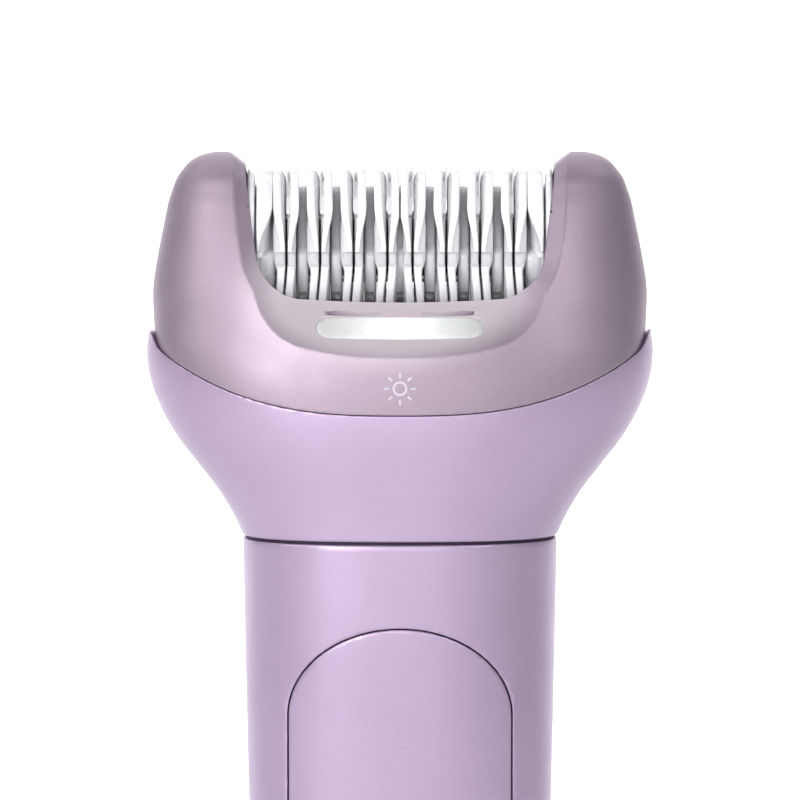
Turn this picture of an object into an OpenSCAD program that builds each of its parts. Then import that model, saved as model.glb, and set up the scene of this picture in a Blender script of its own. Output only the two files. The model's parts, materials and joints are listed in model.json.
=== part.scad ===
// Cordless epilator with a lift-off head.
// Millimetres. +Z up, front faces -Y, origin at the centre of the flat base.

/* [Handle] */
// Height of the handle, from the base to the neck seam
handle_h = 126.45; // [126.0:0.05:127.0]
// Wall thickness of the handle shells
handle_wall = 1.6; // [1.4:0.1:1.8]
// Gap between neighbouring casing pieces
seam_gap = 0.25; // [0.2:0.05:0.35]

/* [Front panel] */
// Half width of the long oval panel
panel_half_w = 11.9; // [11.0:0.1:12.2]
// Height of the panel's lower end
panel_low = 52; // [50:1:56]
// Height of the panel's upper end
panel_high = 117.1; // [114:0.1:118]
// Height of the power button's centre
button_z = 84; // [82:1:86]
// Radius of the power button
button_r = 6.2; // [5.5:0.1:6.3]

/* [Head] */
// Height of the head's lowest edge
head_low = 126.75; // [126.7:0.05:127.2]
// Wall thickness of the head shells
head_wall = 1.6; // [1.5:0.1:1.7]
// Height of the casing seam at the middle
seam_mid_z = 140.3; // [139:0.1:141]
// Rise of the casing seam from the middle to the sides
seam_rise = 7.1; // [6:0.1:7.4]

/* [Drum] */
// Height of the drum's axis
drum_z = 157.8; // [157.6:0.1:158.0]
// Radius over the tweezer lobes
disc_r = 8.8; // [8.4:0.1:8.9]
// Thickness of one tweezer disc
disc_t = 0.9; // [0.7:0.05:0.95]
// Turn of the tweezer lobes about the drum's axis, in degrees
lobe_turn = 53.5; // [50:0.5:57]
// Distance between neighbouring pairs
pair_pitch = 3.6; // [3.5:0.05:3.65]
// Distance of the innermost pair from the middle
pair_first = 1.34; // [1.3:0.02:1.4]
// Gap of an open pair
pair_gap = 0.24; // [0.22:0.02:0.3]

/* [Gears] */
// Module of every gear
gear_m = 0.6; // [0.6:0.6]
// Radial play of a running shaft in its bore
run_gap = 0.06; // [0.04:0.01:0.08]

/* [Charging] */
// Radius of the charging socket's bore
socket_r = 1.85; // [1.75:0.05:1.9]
// Depth of the charging socket's bore
socket_depth = 7; // [6.5:0.1:7.2]

/* [Hidden] */
$fn = 64;
SHELL_N = 40;
EXPO = 2.5;

mauve = "#b3a6b4";
lilac = "#bda8c6";
white = "#f2f1ef";
steel = "#b9bcc0";
dark = "#34323a";
nylon = "#e6e2d6";
grey = "#8c9096";
brass = "#c9a04e";
green = "#2f6b46";
orange = "#c8733a";

// Handle stations: height, half width, depth to the front, depth to the back
HANDLE = [
  [0, 9.5, 8.5, 8.5], [1.2, 11.8, 10.6, 10.6], [4, 13.4, 12.0, 11.8],
  [10, 14.3, 12.8, 12.4], [25, 15.0, 12.6, 13.2], [45, 15.4, 11.2, 14.6],
  [65, 15.6, 10.4, 15.4], [85, 16.0, 11.2, 15.2], [105, 16.5, 13.0, 14.4],
  [handle_h, 16.95, 14.7, 14.0]
];

// Head stations, in the same form
HEAD = [
  [head_low, 16.95, 14.7, 14.0], [129, 18.0, 15.0, 14.1],
  [131.5, 19.5, 15.4, 14.3], [134.5, 21.8, 15.9, 14.5],
  [137.5, 24.1, 16.3, 14.7], [140.5, 25.8, 16.5, 14.7],
  [143.5, 26.9, 16.5, 14.6], [146.5, 27.3, 16.2, 14.3],
  [150, 26.9, 15.6, 13.9], [153.5, 26.7, 14.7, 13.3],
  [157, 26.1, 13.5, 12.5], [160.5, 25.4, 12.0, 11.4],
  [163.5, 24.7, 10.3, 10.0], [166, 23.5, 8.3, 8.1],
  [167.4, 22.0, 6.0, 5.9], [168, 20.7, 4.4, 4.3]
];

axle_r = 1.0;
core_r = 3.4;
rod_r = 0.5;
rod_at = 4.6;
idler_z = drum_z - gear_m * 18;
lay_z = idler_z - gear_m * 14;
crown_r = gear_m * 12;
pinion_r = gear_m * 5;
slope = 42.6;
lens_y = -12.83;
lens_z = 149.5;

// ---------- curves ----------

function cat(a, b, c, d, t) =
  0.5 * (2 * b + (c - a) * t + (2 * a - 5 * b + 4 * c - d) * t * t
         + (3 * b - a - 3 * c + d) * t * t * t);
function at(s, i) = s[max(0, min(len(s) - 1, i))];
// A station at position u along a table, counted in rows
function station(s, u) =
  let (i = min(floor(u), len(s) - 2), t = u - i)
  cat(at(s, i - 1), at(s, i), at(s, i + 1), at(s, i + 2), t);
function sgn(v) = v < 0 ? -1 : 1;
// A rounded section; bf is the depth towards -Y, bb towards +Y
function section(a, bf, bb, n = SHELL_N) = [
  for (i = [0 : n - 1])
    let (w = 360 * i / n, c = cos(w), s = sin(w))
    [a * sgn(c) * pow(abs(c), 2 / EXPO),
     (s < 0 ? bf : bb) * sgn(s) * pow(abs(s), 2 / EXPO)]
];

// A solid lofted through a station table, drawn in by inset
module loft(s, inset = 0, steps = 2) {
  rows = (len(s) - 1) * steps;
  rings = [
    for (k = [0 : rows])
      let (q = station(s, k / steps))
      [for (p = section(q[1] - inset, q[2] - inset, q[3] - inset))
        [p[0], p[1], q[0]]]
  ];
  n = SHELL_N;
  pts = [for (r = rings) for (p = r) p];
  faces = concat(
    [[for (i = [0 : n - 1]) i]],
    [for (k = [0 : rows - 1]) for (i = [0 : n - 1])
      let (a = k * n + i, b = k * n + (i + 1) % n) [a, a + n, b]],
    [for (k = [0 : rows - 1]) for (i = [0 : n - 1])
      let (a = k * n + i, b = k * n + (i + 1) % n) [b, a + n, b + n]],
    [[for (i = [n - 1 : -1 : 0]) rows * n + i]]
  );
  polyhedron(pts, faces, convexity = 6);
}

// One smooth moulded skin
module moulded() { $fn = 28; resize([0, 0, 0]) children(); }

module slab(z0, z1) {
  translate([-60, -60, z0]) cube([120, 120, z1 - z0]);
}
module front_half(g = 0.1) { translate([-60, -60, -5]) cube([120, 60 - g, 200]); }
module back_half(g = 0.1) { translate([-60, g, -5]) cube([120, 60, 200]); }

// An outline in the XZ plane, carried along Y from y0 to y1
module along_y(y0, y1) {
  translate([0, y1, 0]) rotate([90, 0, 0]) linear_extrude(y1 - y0) children();
}
// A cylinder along X from x0 to x1
module rod_x(r, x0, x1, y = 0, z = 0) {
  translate([x0, y, z]) rotate([0, 90, 0]) cylinder(r = r, h = x1 - x0);
}
// A cylinder along Y from y0 to y1
module rod_y(r, y0, y1, x = 0, z = 0) {
  translate([x, y1, z]) rotate([90, 0, 0]) cylinder(r = r, h = y1 - y0);
}
module rod_z(r, z0, z1, x = 0, y = 0) {
  translate([x, y, z0]) cylinder(r = r, h = z1 - z0);
}
module box(x0, x1, y0, y1, z0, z1) {
  translate([x0, y0, z0]) cube([x1 - x0, y1 - y0, z1 - z0]);
}
// A flat plate with the casing's section
module plate(a, bf, bb, z0, z1, n = 40) {
  translate([0, 0, z0]) linear_extrude(z1 - z0) polygon(section(a, bf, bb, n));
}
// A pill outline: w long, h high
module pill(w, h) {
  union() {
    square([w - h, h], center = true);
    translate([-(w - h) / 2, 0]) circle(d = h);
    translate([(w - h) / 2, 0]) circle(d = h);
  }
}

// ---------- handle ----------

function panel_pts(d = 0, n = 12) =
  let (w = panel_half_w + d, h = 9.5 + d,
       zt = panel_high - 9.5, zb = panel_low + 9.5)
  concat([for (i = [0 : n]) let (v = 180 * i / n) [w * cos(v), zt + h * sin(v)]],
         [for (i = [0 : n]) let (v = 180 + 180 * i / n) [w * cos(v), zb + h * sin(v)]]);

module handle_skin(outer = 0, inner = 1.6) {
  difference() {
    loft(HANDLE, outer);
    loft(HANDLE, inner);
    slab(-5, 10.5);
    slab(handle_h - 0.001, 140);
  }
}

module handle_front_shell() {
  color(lilac) moulded() difference() {
    intersection() { handle_skin(0, handle_wall); front_half(); }
    along_y(-30, -1) polygon(panel_pts(seam_gap));
  }
}

module handle_back_shell() {
  color(lilac) moulded() difference() {
    union() {
      intersection() { handle_skin(0, handle_wall); back_half(); }
      intersection() {
        union() {
          box(-12.5, -6.5, 0.1, 12, 10.7, 12.4);
          box(6.5, 12.5, 0.1, 12, 10.7, 12.4);
        }
        loft(HANDLE, handle_wall - 0.2);
      }
    }
    translate([0, 0, 114]) along_y(5, 30) pill(9.6, 5.2);
    for (x = [-9, 9]) rod_z(0.9, 10, 13, x, 4);
  }
}

module front_panel() {
  color(lilac) moulded() difference() {
    intersection() {
      handle_skin(0.0, 1.4);
      along_y(-30, -1) polygon(panel_pts(0));
    }
    rod_y(7.7, -30, -1, 0, button_z);
    translate([0, 0, 66]) along_y(-30, -1) pill(7.2, 2.2);
  }
}

module panel_gasket() {
  color(dark) moulded() difference() {
    intersection() {
      handle_skin(1.75, 2.35);
      along_y(-30, -1) polygon(panel_pts(0.9));
    }
    along_y(-30, -1) polygon(panel_pts(-1.1));
  }
}

module button_ring() {
  color(steel) moulded() difference() {
    intersection() {
      handle_skin(-0.15, 1.3);
      rod_y(7.6, -30, -1, 0, button_z);
    }
    rod_y(button_r + 0.3, -31, 0, 0, button_z);
  }
}

module power_button() {
  color(lilac) translate([0, 0, button_z]) rotate([90, 0, 0]) rotate_extrude() polygon([
    [0, 8.9], [2.0, 8.9], [2.0, 9.5], [button_r, 9.5], [button_r, 11.2],
    [button_r - 0.15, 11.45], [button_r - 0.5, 11.6], [4.2, 11.62],
    [2.4, 11.4], [0, 11.25]
  ]);
}

module status_lens() {
  color(white) translate([0, 0, 66]) along_y(-10.3, -9.2) pill(7.0, 2.0);
}
module status_led() {
  color(green) for (x = [-1.6, 1.6]) box(x - 0.6, x + 0.6, -7.9, -7.0, 65.5, 66.5);
}

module circuit_board() {
  color(green) difference() {
    box(-7.8, 7.8, -7.0, -6.0, 25, 87.8);
    for (x = [-6.4, 6.4]) for (z = [27, 86]) rod_y(0.7, -8, -5, x, z);
  }
  color(dark) {
    box(-3.0, 3.0, -8.0, -7.0, 50, 56);
    box(-6.5, -4.5, -8.0, -7.0, 60, 63);
    box(3.2, 6.4, -8.2, -7.0, 40, 44);
    box(-6, -3.4, -8.2, -7.0, 34, 40);
    box(1.5, 3.0, -7.7, -7.0, 71, 72.5);
    box(-5.5, -2.5, -7.8, -7.0, 72, 75);
  }
}

module tact_switch() {
  color(steel) box(-2.3, 2.3, -8.0, -7.0, button_z - 2.3, button_z + 2.3);
  color(dark) rod_y(1.1, -8.2, -8.0, 0, button_z);
}

module base_cap() {
  color(lilac) moulded() difference() {
    intersection() { loft(HANDLE, 0, 3); slab(-1, 10); }
    intersection() { loft(HANDLE, 2.0); slab(2.2, 30); }
    rod_z(2.75, -1, 12, 0, 4.4);
  }
}

module base_seal() {
  color(dark) translate([0, 0, 10.05]) linear_extrude(0.4) difference() {
    polygon(section(13.85, 12.4, 12.0));
    polygon(section(12.9, 11.4, 11.1));
  }
}

module charging_socket() {
  color(dark) difference() {
    union() {
      rod_z(2.6, 0.3, 8.9, 0, 4.4);
      rod_z(3.6, 2.4, 3.4, 0, 4.4);
    }
    rod_z(socket_r, 0, 0.3 + socket_depth, 0, 4.4);
  }
}
module socket_contacts() {
  color(brass) {
    rod_z(0.4, 8.9, 12.5, -1.1, 4.4);
    rod_z(0.4, 8.9, 12.5, 1.1, 4.4);
    box(-0.3, 0.3, 5.8, 6.4, 8.9, 12.0);
  }
}

module inner_frame() {
  color(grey) difference() {
    union() {
      plate(13.0, 10.6, 11.2, 23, 24.5);
      for (x = [-9, 9]) rod_z(1.8, 12.6, 23.2, x, 4);
      difference() {
        plate(13.8, 8.8, 13.2, 77.5, 79);
        box(-20, 20, -20, -3.3, 70, 80);
      }
      plate(14.8, 12.4, 12.0, 122.3, 124);
      for (x = [-11.8, 10.6]) box(x, x + 1.2, -1, 4, 24.4, 122.4);
      box(-11.8, -8.4, -1, 4.0, 87.0, 88.5);
      box(8.4, 11.8, -1, 4.0, 87.0, 88.5);
    }
    rod_z(2.2, 120, 126);
    for (x = [-1, 1]) rod_z(0.8, 120, 126, x * 7.5);
    for (x = [-3.2, 3.2]) rod_z(0.9, 120, 126, x, 9.0);
    for (x = [-1, 1]) rod_z(0.75, 120, 126, x * 12.9, 0);
    rod_z(2.0, 20, 26, 0, -7);
    for (x = [-9, 9]) rod_z(0.8, 12, 20, x, 4);
  }
}

module battery() {
  color("#5f8f5a") difference() {
    rod_z(7.0, 26, 76, 0, 2.4);
    difference() { rod_z(7.5, 74.6, 75.2, 0, 2.4); rod_z(6.6, 74.5, 75.3, 0, 2.4); }
  }
  color(steel) rod_z(2.6, 76, 77, 0, 2.4);
}
module battery_tabs() {
  color(steel) {
    box(-2.5, 2.5, -5.9, 4.5, 25.6, 25.9);
    box(-2.5, 2.5, -5.9, 4.5, 77.05, 77.35);
    box(-2.5, 2.5, -5.9, -5.6, 25.9, 30);
    box(-2.5, 2.5, -5.9, -5.6, 73, 77.05);
  }
}

module motor_can() {
  color(steel) difference() {
    union() {
      intersection() {
        rod_z(10.2, 92, 121.6);
        box(-11, 11, -7.7, 7.7, 90, 125);
      }
      rod_z(3.0, 121.6, 122.2);
    }
    rod_z(axle_r + run_gap, 110, 123);
    for (x = [-1, 1]) rod_z(0.75, 118, 123, x * 7.5);
  }
}
module motor_end_cap() {
  color(dark) difference() {
    intersection() {
      rod_z(9.9, 88.6, 91.95);
      box(-11, 11, -7.4, 7.4, 80, 92);
    }
    rod_z(2.4, 88, 90);
  }
}
module motor_terminals() {
  color(brass) for (x = [-6.2, 6.2]) box(x - 1, x + 1, -5.5, -5.0, 84.5, 88.6);
}
module screw(r, l, head_r, head_h) {
  difference() {
    union() {
      translate([0, 0, -l]) cylinder(r = r, h = l, $fn = 24);
      cylinder(r = head_r, h = head_h, $fn = 24);
    }
    translate([0, 0, head_h / 2]) cylinder(r = head_r * 0.5, h = head_h, $fn = 6);
  }
}
module motor_screws() {
  color(steel) for (x = [-7.5, 7.5]) translate([x, 0, 124]) screw(0.7, 5.2, 1.3, 0.7);
}

module neck_collar() {
  color(dark) difference() {
    plate(14.2, 12.0, 11.5, 124.05, 127.8);
    plate(11.9, 10.6, 10.1, 124.0, 128.2);
    for (x = [-1, 1]) rod_z(0.75, 124, 128.2, x * 12.9, 0);
  }
}
module neck_seal() {
  color(dark) translate([0, 0, 126.5]) linear_extrude(0.2) difference() {
    polygon(section(16.7, 14.45, 13.75));
    polygon(section(15.3, 13.1, 12.4));
  }
}
module head_contacts() {
  color(brass) for (x = [-3.2, 3.2]) {
    rod_z(0.8, 121.9, 125.4, x, 9.0);
    rod_z(0.5, 125.4, 128.4, x, 9.0);
  }
}
module casing_screws() {
  color(steel) {
    for (x = [-9, 9]) translate([x, 4, 10.65]) rotate([180, 0, 0]) screw(0.75, 8, 1.5, 0.9);
    for (x = [-12.9, 12.9]) translate([x, 0, 127.8]) screw(0.7, 5.0, 1.1, 0.4);
  }
}

module release_button() {
  color(lilac) translate([0, 0, 114]) {
    along_y(11.2, 14.6) pill(9.0, 4.6);
    along_y(11.2, 12.1) pill(11.4, 7.0);
    along_y(14.5, 14.9) pill(6.4, 2.0);
  }
}
module release_spring() {
  color(steel) translate([0, 0, 114]) for (x = [-2.6, 2.6]) translate([x, 0, 0])
    rotate([-90, 0, 0]) for (k = [0 : 5])
      translate([0, 0, 8.05 + 0.55 * k]) rotate_extrude() translate([1.0, 0]) circle(r = 0.17, $fn = 16);
}

module motor_shaft() { color(steel) rod_z(axle_r, 111, 127.6); }
module drive_dog() {
  color(brass) difference() {
    translate([0, 0, 124.5]) cylinder(r = 2.2, h = 3.3, $fn = 6);
    rod_z(axle_r, 124, 127.6);
  }
}

// ---------- head casing ----------

function mirrored(p) = concat([for (q = p) [-q[0], q[1]]],
                              [for (i = [len(p) - 1 : -1 : 0]) p[i]]);
// The slot seen from the front, and the wider outline of its sloping lip
slot_pts = mirrored([[16.7, 176], [16.7, 167.2], [15.8, 161.3], [15.3, 156.4],
                     [14.5, 154.4], [13.0, 152.8], [10.1, 152.3]]);
lip_pts = mirrored([[18.9, 176], [18.4, 171], [17.7, 164.2], [16.9, 158],
                    [16.2, 153.8], [14.8, 149.8], [12.6, 148.1],
                    [10.1, 147.0], [5, 146.5]]);

module slot_cut(d = 0) { along_y(-30, 30) offset(delta = d) polygon(slot_pts); }
module lip_side(d, s) {
  hull() {
    along_y(-16.2, -16.19) offset(delta = d) polygon(lip_pts);
    along_y(-10, -9.99) offset(delta = d) polygon(slot_pts);
  }
  along_y(-30, -16.19) offset(delta = d) polygon(lip_pts);
}
module slot_all(d = 0) {
  slot_cut(d);
  lip_side(d * 1.36);
  mirror([0, 1, 0]) translate([0, 2.0, 0]) lip_side(d * 1.36);
}

function seam_z(x) = seam_mid_z + seam_rise * pow(abs(x) / 26.4, 2.8);
module under_seam(d) {
  along_y(-40, 40) polygon(concat(
    [for (i = [-10 : 10]) [i * 3, seam_z(i * 3) + d]], [[30, 100], [-30, 100]]));
}

module head_skin() {
  difference() {
    loft(HEAD, 0, 1);
    difference() {
      intersection() { loft(HEAD, head_wall, 1); slab(100, 168 - head_wall); }
      slot_all(1.4);
    }
    slab(head_low - 1, head_low + 0.001);
    intersection() { loft(HEAD, head_wall, 1); slab(head_low - 1, head_low + 1); }
    slot_all(0);
    rod_x(9.2, -18.4, 18.4, 0, drum_z);
    intersection() {
      rod_x(10.6, -18.9, 18.9, 0, drum_z);
      slab(140, 153);
    }
  }
}

module lens_place() { translate([0, lens_y, lens_z]) rotate([slope, 0, 0]) children(); }

module icon_shape(d = 0) {
  difference() { circle(r = 0.79 + d, $fn = 32); circle(r = 0.55 - d, $fn = 32); }
  for (k = [0 : 7]) rotate(45 * k) translate([1.43, 0])
    square([0.6 + 2 * d, 0.22 + 2 * d], center = true);
}

module head_frame() {
  color(mauve) moulded() difference() {
    head_skin();
    under_seam(0.15);
    lens_place() translate([0, 0, -3]) linear_extrude(6) pill(18.4, 3.45);
    translate([0, 0, 143.2]) along_y(-20, -16.05) icon_shape(0.05);
  }
}

module head_base() {
  color(lilac) moulded() {
    intersection() { head_skin(); under_seam(-0.15); }
    for (x = [-1, 1]) for (y = [-1, 1]) difference() {
      intersection() {
        rod_z(3.6, 130.1, 132.6, x * 10.9, y * 8.7);
        loft(HEAD, 0.8, 1);
        box(-30, 30, y > 0 ? 6.8 : -30, y > 0 ? 30 : -6.8, 120, 140);
      }
      rod_z(0.75, 130, 132.4, x * 10.9, y * 8.7);
    }
  }
}

module seam_gasket() {
  color(dark) moulded() intersection() {
    difference() {
      loft(HEAD, head_wall + 0.1, 1);
      loft(HEAD, head_wall + 0.8, 1);
      slot_all(1.5);
    }
    difference() { under_seam(0.7); under_seam(-0.7); }
    slab(130, 149.5);
  }
}

module light_lens() {
  color(white) lens_place() union() {
    translate([0, 0, -1.3]) linear_extrude(1.35) pill(18.1, 3.15);
    translate([0, 0, -2.2]) linear_extrude(0.9) pill(17.0, 2.2);
  }
}
module light_leds() {
  color("#fff6d8") lens_place() for (x = [-5.5, 0, 5.5])
    translate([x - 0.8, -0.8, -3.35]) cube([1.6, 1.6, 0.8]);
}
module light_board() {
  color(green) lens_place() translate([-9.5, -2.2, -4.2]) cube([19, 4.4, 0.8]);
}
module light_icon() {
  color(white) translate([0, 0, 143.2]) along_y(-16.5, -16.15) icon_shape(0);
}

// ---------- gears ----------

function rot2(p, a) = [p[0] * cos(a) - p[1] * sin(a), p[0] * sin(a) + p[1] * cos(a)];
// Polar half angle of an involute tooth at radius r
function inv(t) = tan(t) * 180 / PI - t;
function half_at(r, rp, rb, half) =
  let (c = min(1, rb / r)) half + inv(20) - inv(acos(c));
// Tooth outline: z teeth of module m, thinned by slack, with a tooth at 90 degrees
function gear_pts(z, m, slack, phase = 0) =
  let (rp = z * m / 2, rb = rp * cos(20), rt = rp + 0.85 * m, rr = rp - 1.25 * m,
       half = (PI * m / 2 - slack) / 2 / rp * 180 / PI,
       r0 = max(rb, rr + 0.05),
       rs = [rr, r0, (r0 + rp) / 2, rp, (rp + rt) / 2, rt])
  [for (k = [0 : z - 1])
    let (mid = 90 + 360 * (k + phase) / z)
    for (j = [0 : 11])
      let (r = j < 6 ? rs[j] : rs[11 - j],
           h = half_at(max(r, r0), rp, rb, half) + (r == rr ? 2 : 0),
           w = j < 6 ? mid - h : mid + h)
      [r * cos(w), r * sin(w)]];

// A spur gear along X from x0 to x1, centred on height z
module gear_x(teeth, x0, x1, z, slack, phase = 0) {
  translate([x0, 0, z]) rotate([90, 0, 90]) linear_extrude(x1 - x0)
    polygon(gear_pts(teeth, gear_m, slack, phase));
}

module drum_gear() {
  color(nylon) difference() {
    union() {
      gear_x(20, 18.95, 19.95, drum_z, 0.16);
    }
    rod_x(core_r, 18, 21, 0, drum_z);
  }
}
module idler_gear() {
  color(nylon) difference() {
    gear_x(16, 18.95, 19.95, idler_z, 0.16, 0.5);
    rod_x(0.9 + run_gap, 18, 21, 0, idler_z);
  }
}
module layshaft() {
  color(steel) union() {
    rod_x(axle_r, 2.2, 21.2, 0, lay_z);
    gear_x(12, 18.9, 20.0, lay_z, 0.16, 0);
  }
}
module crown_gear() {
  color(nylon) difference() {
    union() {
      rod_x(crown_r + 0.75, 3.75, 5.2, 0, lay_z);
      rod_x(2.4, 5.1, 6.2, 0, lay_z);
      for (k = [0 : 23]) translate([3.8, 0, lay_z]) rotate([15 * k, 0, 0])
        translate([0, 0, -crown_r - 0.6]) linear_extrude(1.2) polygon([
          [0, 0.48], [0, -0.48], [-1.31, -0.16], [-1.31, 0.16]]);
    }
    rod_x(axle_r, 0, 8, 0, lay_z);
  }
}
module input_pinion() {
  color(brass) difference() {
    translate([0, 0, lay_z - crown_r - 0.6]) rotate([0, 0, -90]) linear_extrude(1.2)
      polygon(gear_pts(10, gear_m, 0.2, 0.5));
    rod_z(1.2, 125, 135);
  }
}
module input_coupler() {
  color(nylon) difference() {
    union() {
      rod_z(3.4, 125.0, 128.3);
      rod_z(1.2, 128.2, lay_z - crown_r + 0.7);
    }
    translate([0, 0, 124.5]) cylinder(r = 2.45, h = 3.45, $fn = 6);
  }
}

// ---------- head structure ----------

module gear_bracket() {
  color(grey) difference() {
    union() {
      plate(14.6, 11.8, 11.4, 128.6, 130.0);
      for (x = [-9.8, 6.6, 13.4]) box(x, x + 1.6, -6.5, 6.5, 129.9, 146.0);
      for (x = [-9.8, 13.4]) box(x, x + 1.6, -8.4, -6.5, 142.0, 146.0);
    }
    rod_z(1.2 + run_gap, 128, 131);
    rod_x(axle_r + run_gap, 5, 16, 0, lay_z);
    for (x = [-1, 1]) for (y = [-1, 1]) rod_z(0.8, 128, 131, x * 10.9, y * 8.7);
    for (x = [-3.2, 3.2]) rod_z(0.85, 128, 131, x, 9.0);
    box(-9.9, -8.1, -3.0, 3.0, 131.5, 140.0);
  }
}

module drum_cradle() {
  color(dark) difference() {
    union() {
      intersection() {
        rod_x(10.3, -17.7, 17.7, 0, drum_z);
        slab(140, 151.3);
      }
      for (x = [-9.8, 6.6, 13.4]) box(x, x + 1.6, -6.5, 6.5, 146.05, 148.5);
      for (s = [-18.7, 17.7]) {
        box(s, s + 1.0, -7.4, 7.4, 144.6, 149.6);
        box(s, s + 1.0, -1.2, 1.2, 149.5, 151.2);
      }
      for (y = [-6.4, 6.4]) {
        rod_x(0.9, 18.6, 20.25, y, 148.3);
        rod_x(0.9, -20.25, -18.6, y, 148.3);
      }
    }
    rod_x(9.4, -17.7, 17.7, 0, drum_z);
    rod_x(0.9, 17, 19, 0, idler_z);
    for (s = [-18.25, 18.25]) rod_z(0.3, 149.0, 152, s, 0);
  }
}

module side_plates() {
  color(steel) for (s = [-1, 1]) difference() {
    translate([s > 0 ? 20.3 : -21.1, 0, 0]) rotate([90, 0, 90]) linear_extrude(0.8)
      polygon(s > 0
        ? [[-3, 161], [3, 161], [4.2, 157], [7.4, 150], [7.4, 147.2], [2.6, 137.0],
           [-2.6, 137.0], [-7.4, 147.2], [-7.4, 150], [-4.2, 157]]
        : [[-3, 161], [3, 161], [4.2, 157], [7.4, 150], [7.4, 146.4],
           [-7.4, 146.4], [-7.4, 150], [-4.2, 157]]);
    rod_x(axle_r, -23, 23, 0, drum_z);
    rod_x(axle_r + run_gap, 15, 23, 0, lay_z);
    rod_x(0.9, 15, 23, 0, idler_z);
    for (y = [-6.4, 6.4]) rod_x(0.6, -23, 23, y, 148.3);
  }
}

module drum_axle() { color(steel) rod_x(axle_r, -21.4, 21.4, 0, drum_z); }

module head_pins() {
  color(steel) {
    rod_x(0.9, 17.8, 21.2, 0, idler_z);
    for (s = [-18.25, 18.25]) rod_z(0.3, 149.0, 153.8, s, 0);
  }
}

module head_screws() {
  color(steel) {
    for (x = [-1, 1]) for (y = [-1, 1]) translate([x * 10.9, y * 8.7, 128.58])
      rotate([180, 0, 0]) screw(0.7, 3.6, 1.2, 0.55);
  }
}

module contact_pads() {
  color(brass) for (x = [-3.2, 3.2]) rod_z(0.8, 128.6, 130.8, x, 9.0);
}

// ---------- drum ----------

function pair_x(i) = pair_first + pair_pitch * i;

module four_rods(r, x0, x1) {
  for (k = [0 : 3]) translate([x0, 0, drum_z]) rotate([45 + 90 * k, 0, 0])
    translate([0, 0, rod_at]) rotate([0, 90, 0]) cylinder(r = r, h = x1 - x0, $fn = 32);
}

module drum_core() {
  color(grey) difference() {
    union() {
      rod_x(core_r, -16.45, 20.0, 0, drum_z);
      for (s = [-1, 1]) for (i = [0 : 2])
        rod_x(5.9, s * (pair_x(i) + 1.8) - 0.65, s * (pair_x(i) + 1.8) + 0.65, 0, drum_z);
    }
    rod_x(axle_r + run_gap, -20, 22, 0, drum_z);
    four_rods(rod_r + 0.15, -13, 13);
  }
}

// A tweezer disc from x0, with four lobes and a true bore
module tweezer(x0, bore, hole) {
  difference() {
    translate([x0, 0, drum_z]) rotate([90, 0, 90]) rotate(lobe_turn)
      linear_extrude(disc_t) polygon([
        for (k = [0 : 3]) for (v = [[7.4, -44.9], [7.4, -41], [disc_r - 0.3, -39.8],
            [disc_r, -36], [disc_r, -27], [disc_r, -18], [disc_r, -9], [disc_r, 0],
            [disc_r, 9], [disc_r, 18], [disc_r, 27], [disc_r, 36],
            [disc_r - 0.3, 39.8], [7.4, 41], [7.4, 44.9]])
          [v[0] * cos(v[1] + 90 * k), v[0] * sin(v[1] + 90 * k)]]);
    rod_x(bore, x0 - 1, x0 + disc_t + 1, 0, drum_z);
    four_rods(hole, x0 - 1, x0 + disc_t + 1);
  }
}

module fixed_discs() {
  color(white) for (i = [0 : 3]) {
    tweezer(pair_x(i) - pair_gap / 2 - disc_t, core_r, rod_r + 0.15);
    tweezer(-pair_x(i) + pair_gap / 2, core_r, rod_r + 0.15);
  }
}
module pinch_discs_left() {
  color(white) for (i = [0 : 3])
    tweezer(-pair_x(i) - pair_gap / 2 - disc_t, core_r + 0.1, rod_r);
}
module pinch_discs_right() {
  color(white) for (i = [0 : 3])
    tweezer(pair_x(i) + pair_gap / 2, core_r + 0.1, rod_r);
}
module end_discs() {
  color(white) for (s = [-1, 1]) {
    tweezer(s > 0 ? 13.7 : -14.6, core_r, rod_r + 0.15);
    difference() {
      union() {
        rod_x(disc_r, s > 0 ? 15.5 : -16.4, s > 0 ? 16.4 : -15.5, 0, drum_z);
        rod_x(5.9, s > 0 ? 14.6 : -15.5, s > 0 ? 15.5 : -14.6, 0, drum_z);
      }
      rod_x(core_r, -18, 18, 0, drum_z);
      four_rods(rod_r + 0.15, -18, 18);
    }
  }
}
// Pinch plate with its four push rods; s is the side
module pinch_plate(s) {
  color(steel) union() {
    difference() {
      rod_x(8.2, s > 0 ? 16.8 : -17.6, s > 0 ? 17.6 : -16.8, 0, drum_z);
      rod_x(core_r + 0.1, -19, 19, 0, drum_z);
    }
    four_rods(rod_r, s > 0 ? 1.3 : -16.9, s > 0 ? 16.9 : -1.3);
  }
}
module pinch_plate_left() { pinch_plate(-1); }
module pinch_plate_right() { pinch_plate(1); }

module cam_roller(x) {
  color(steel) difference() {
    rod_z(0.6, 151.5, 153.5, x, 0);
    rod_z(0.3 + 0.04, 151, 154, x, 0);
  }
}
module cam_roller_left() { cam_roller(-18.25); }
module cam_roller_right() { cam_roller(18.25); }

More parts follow.
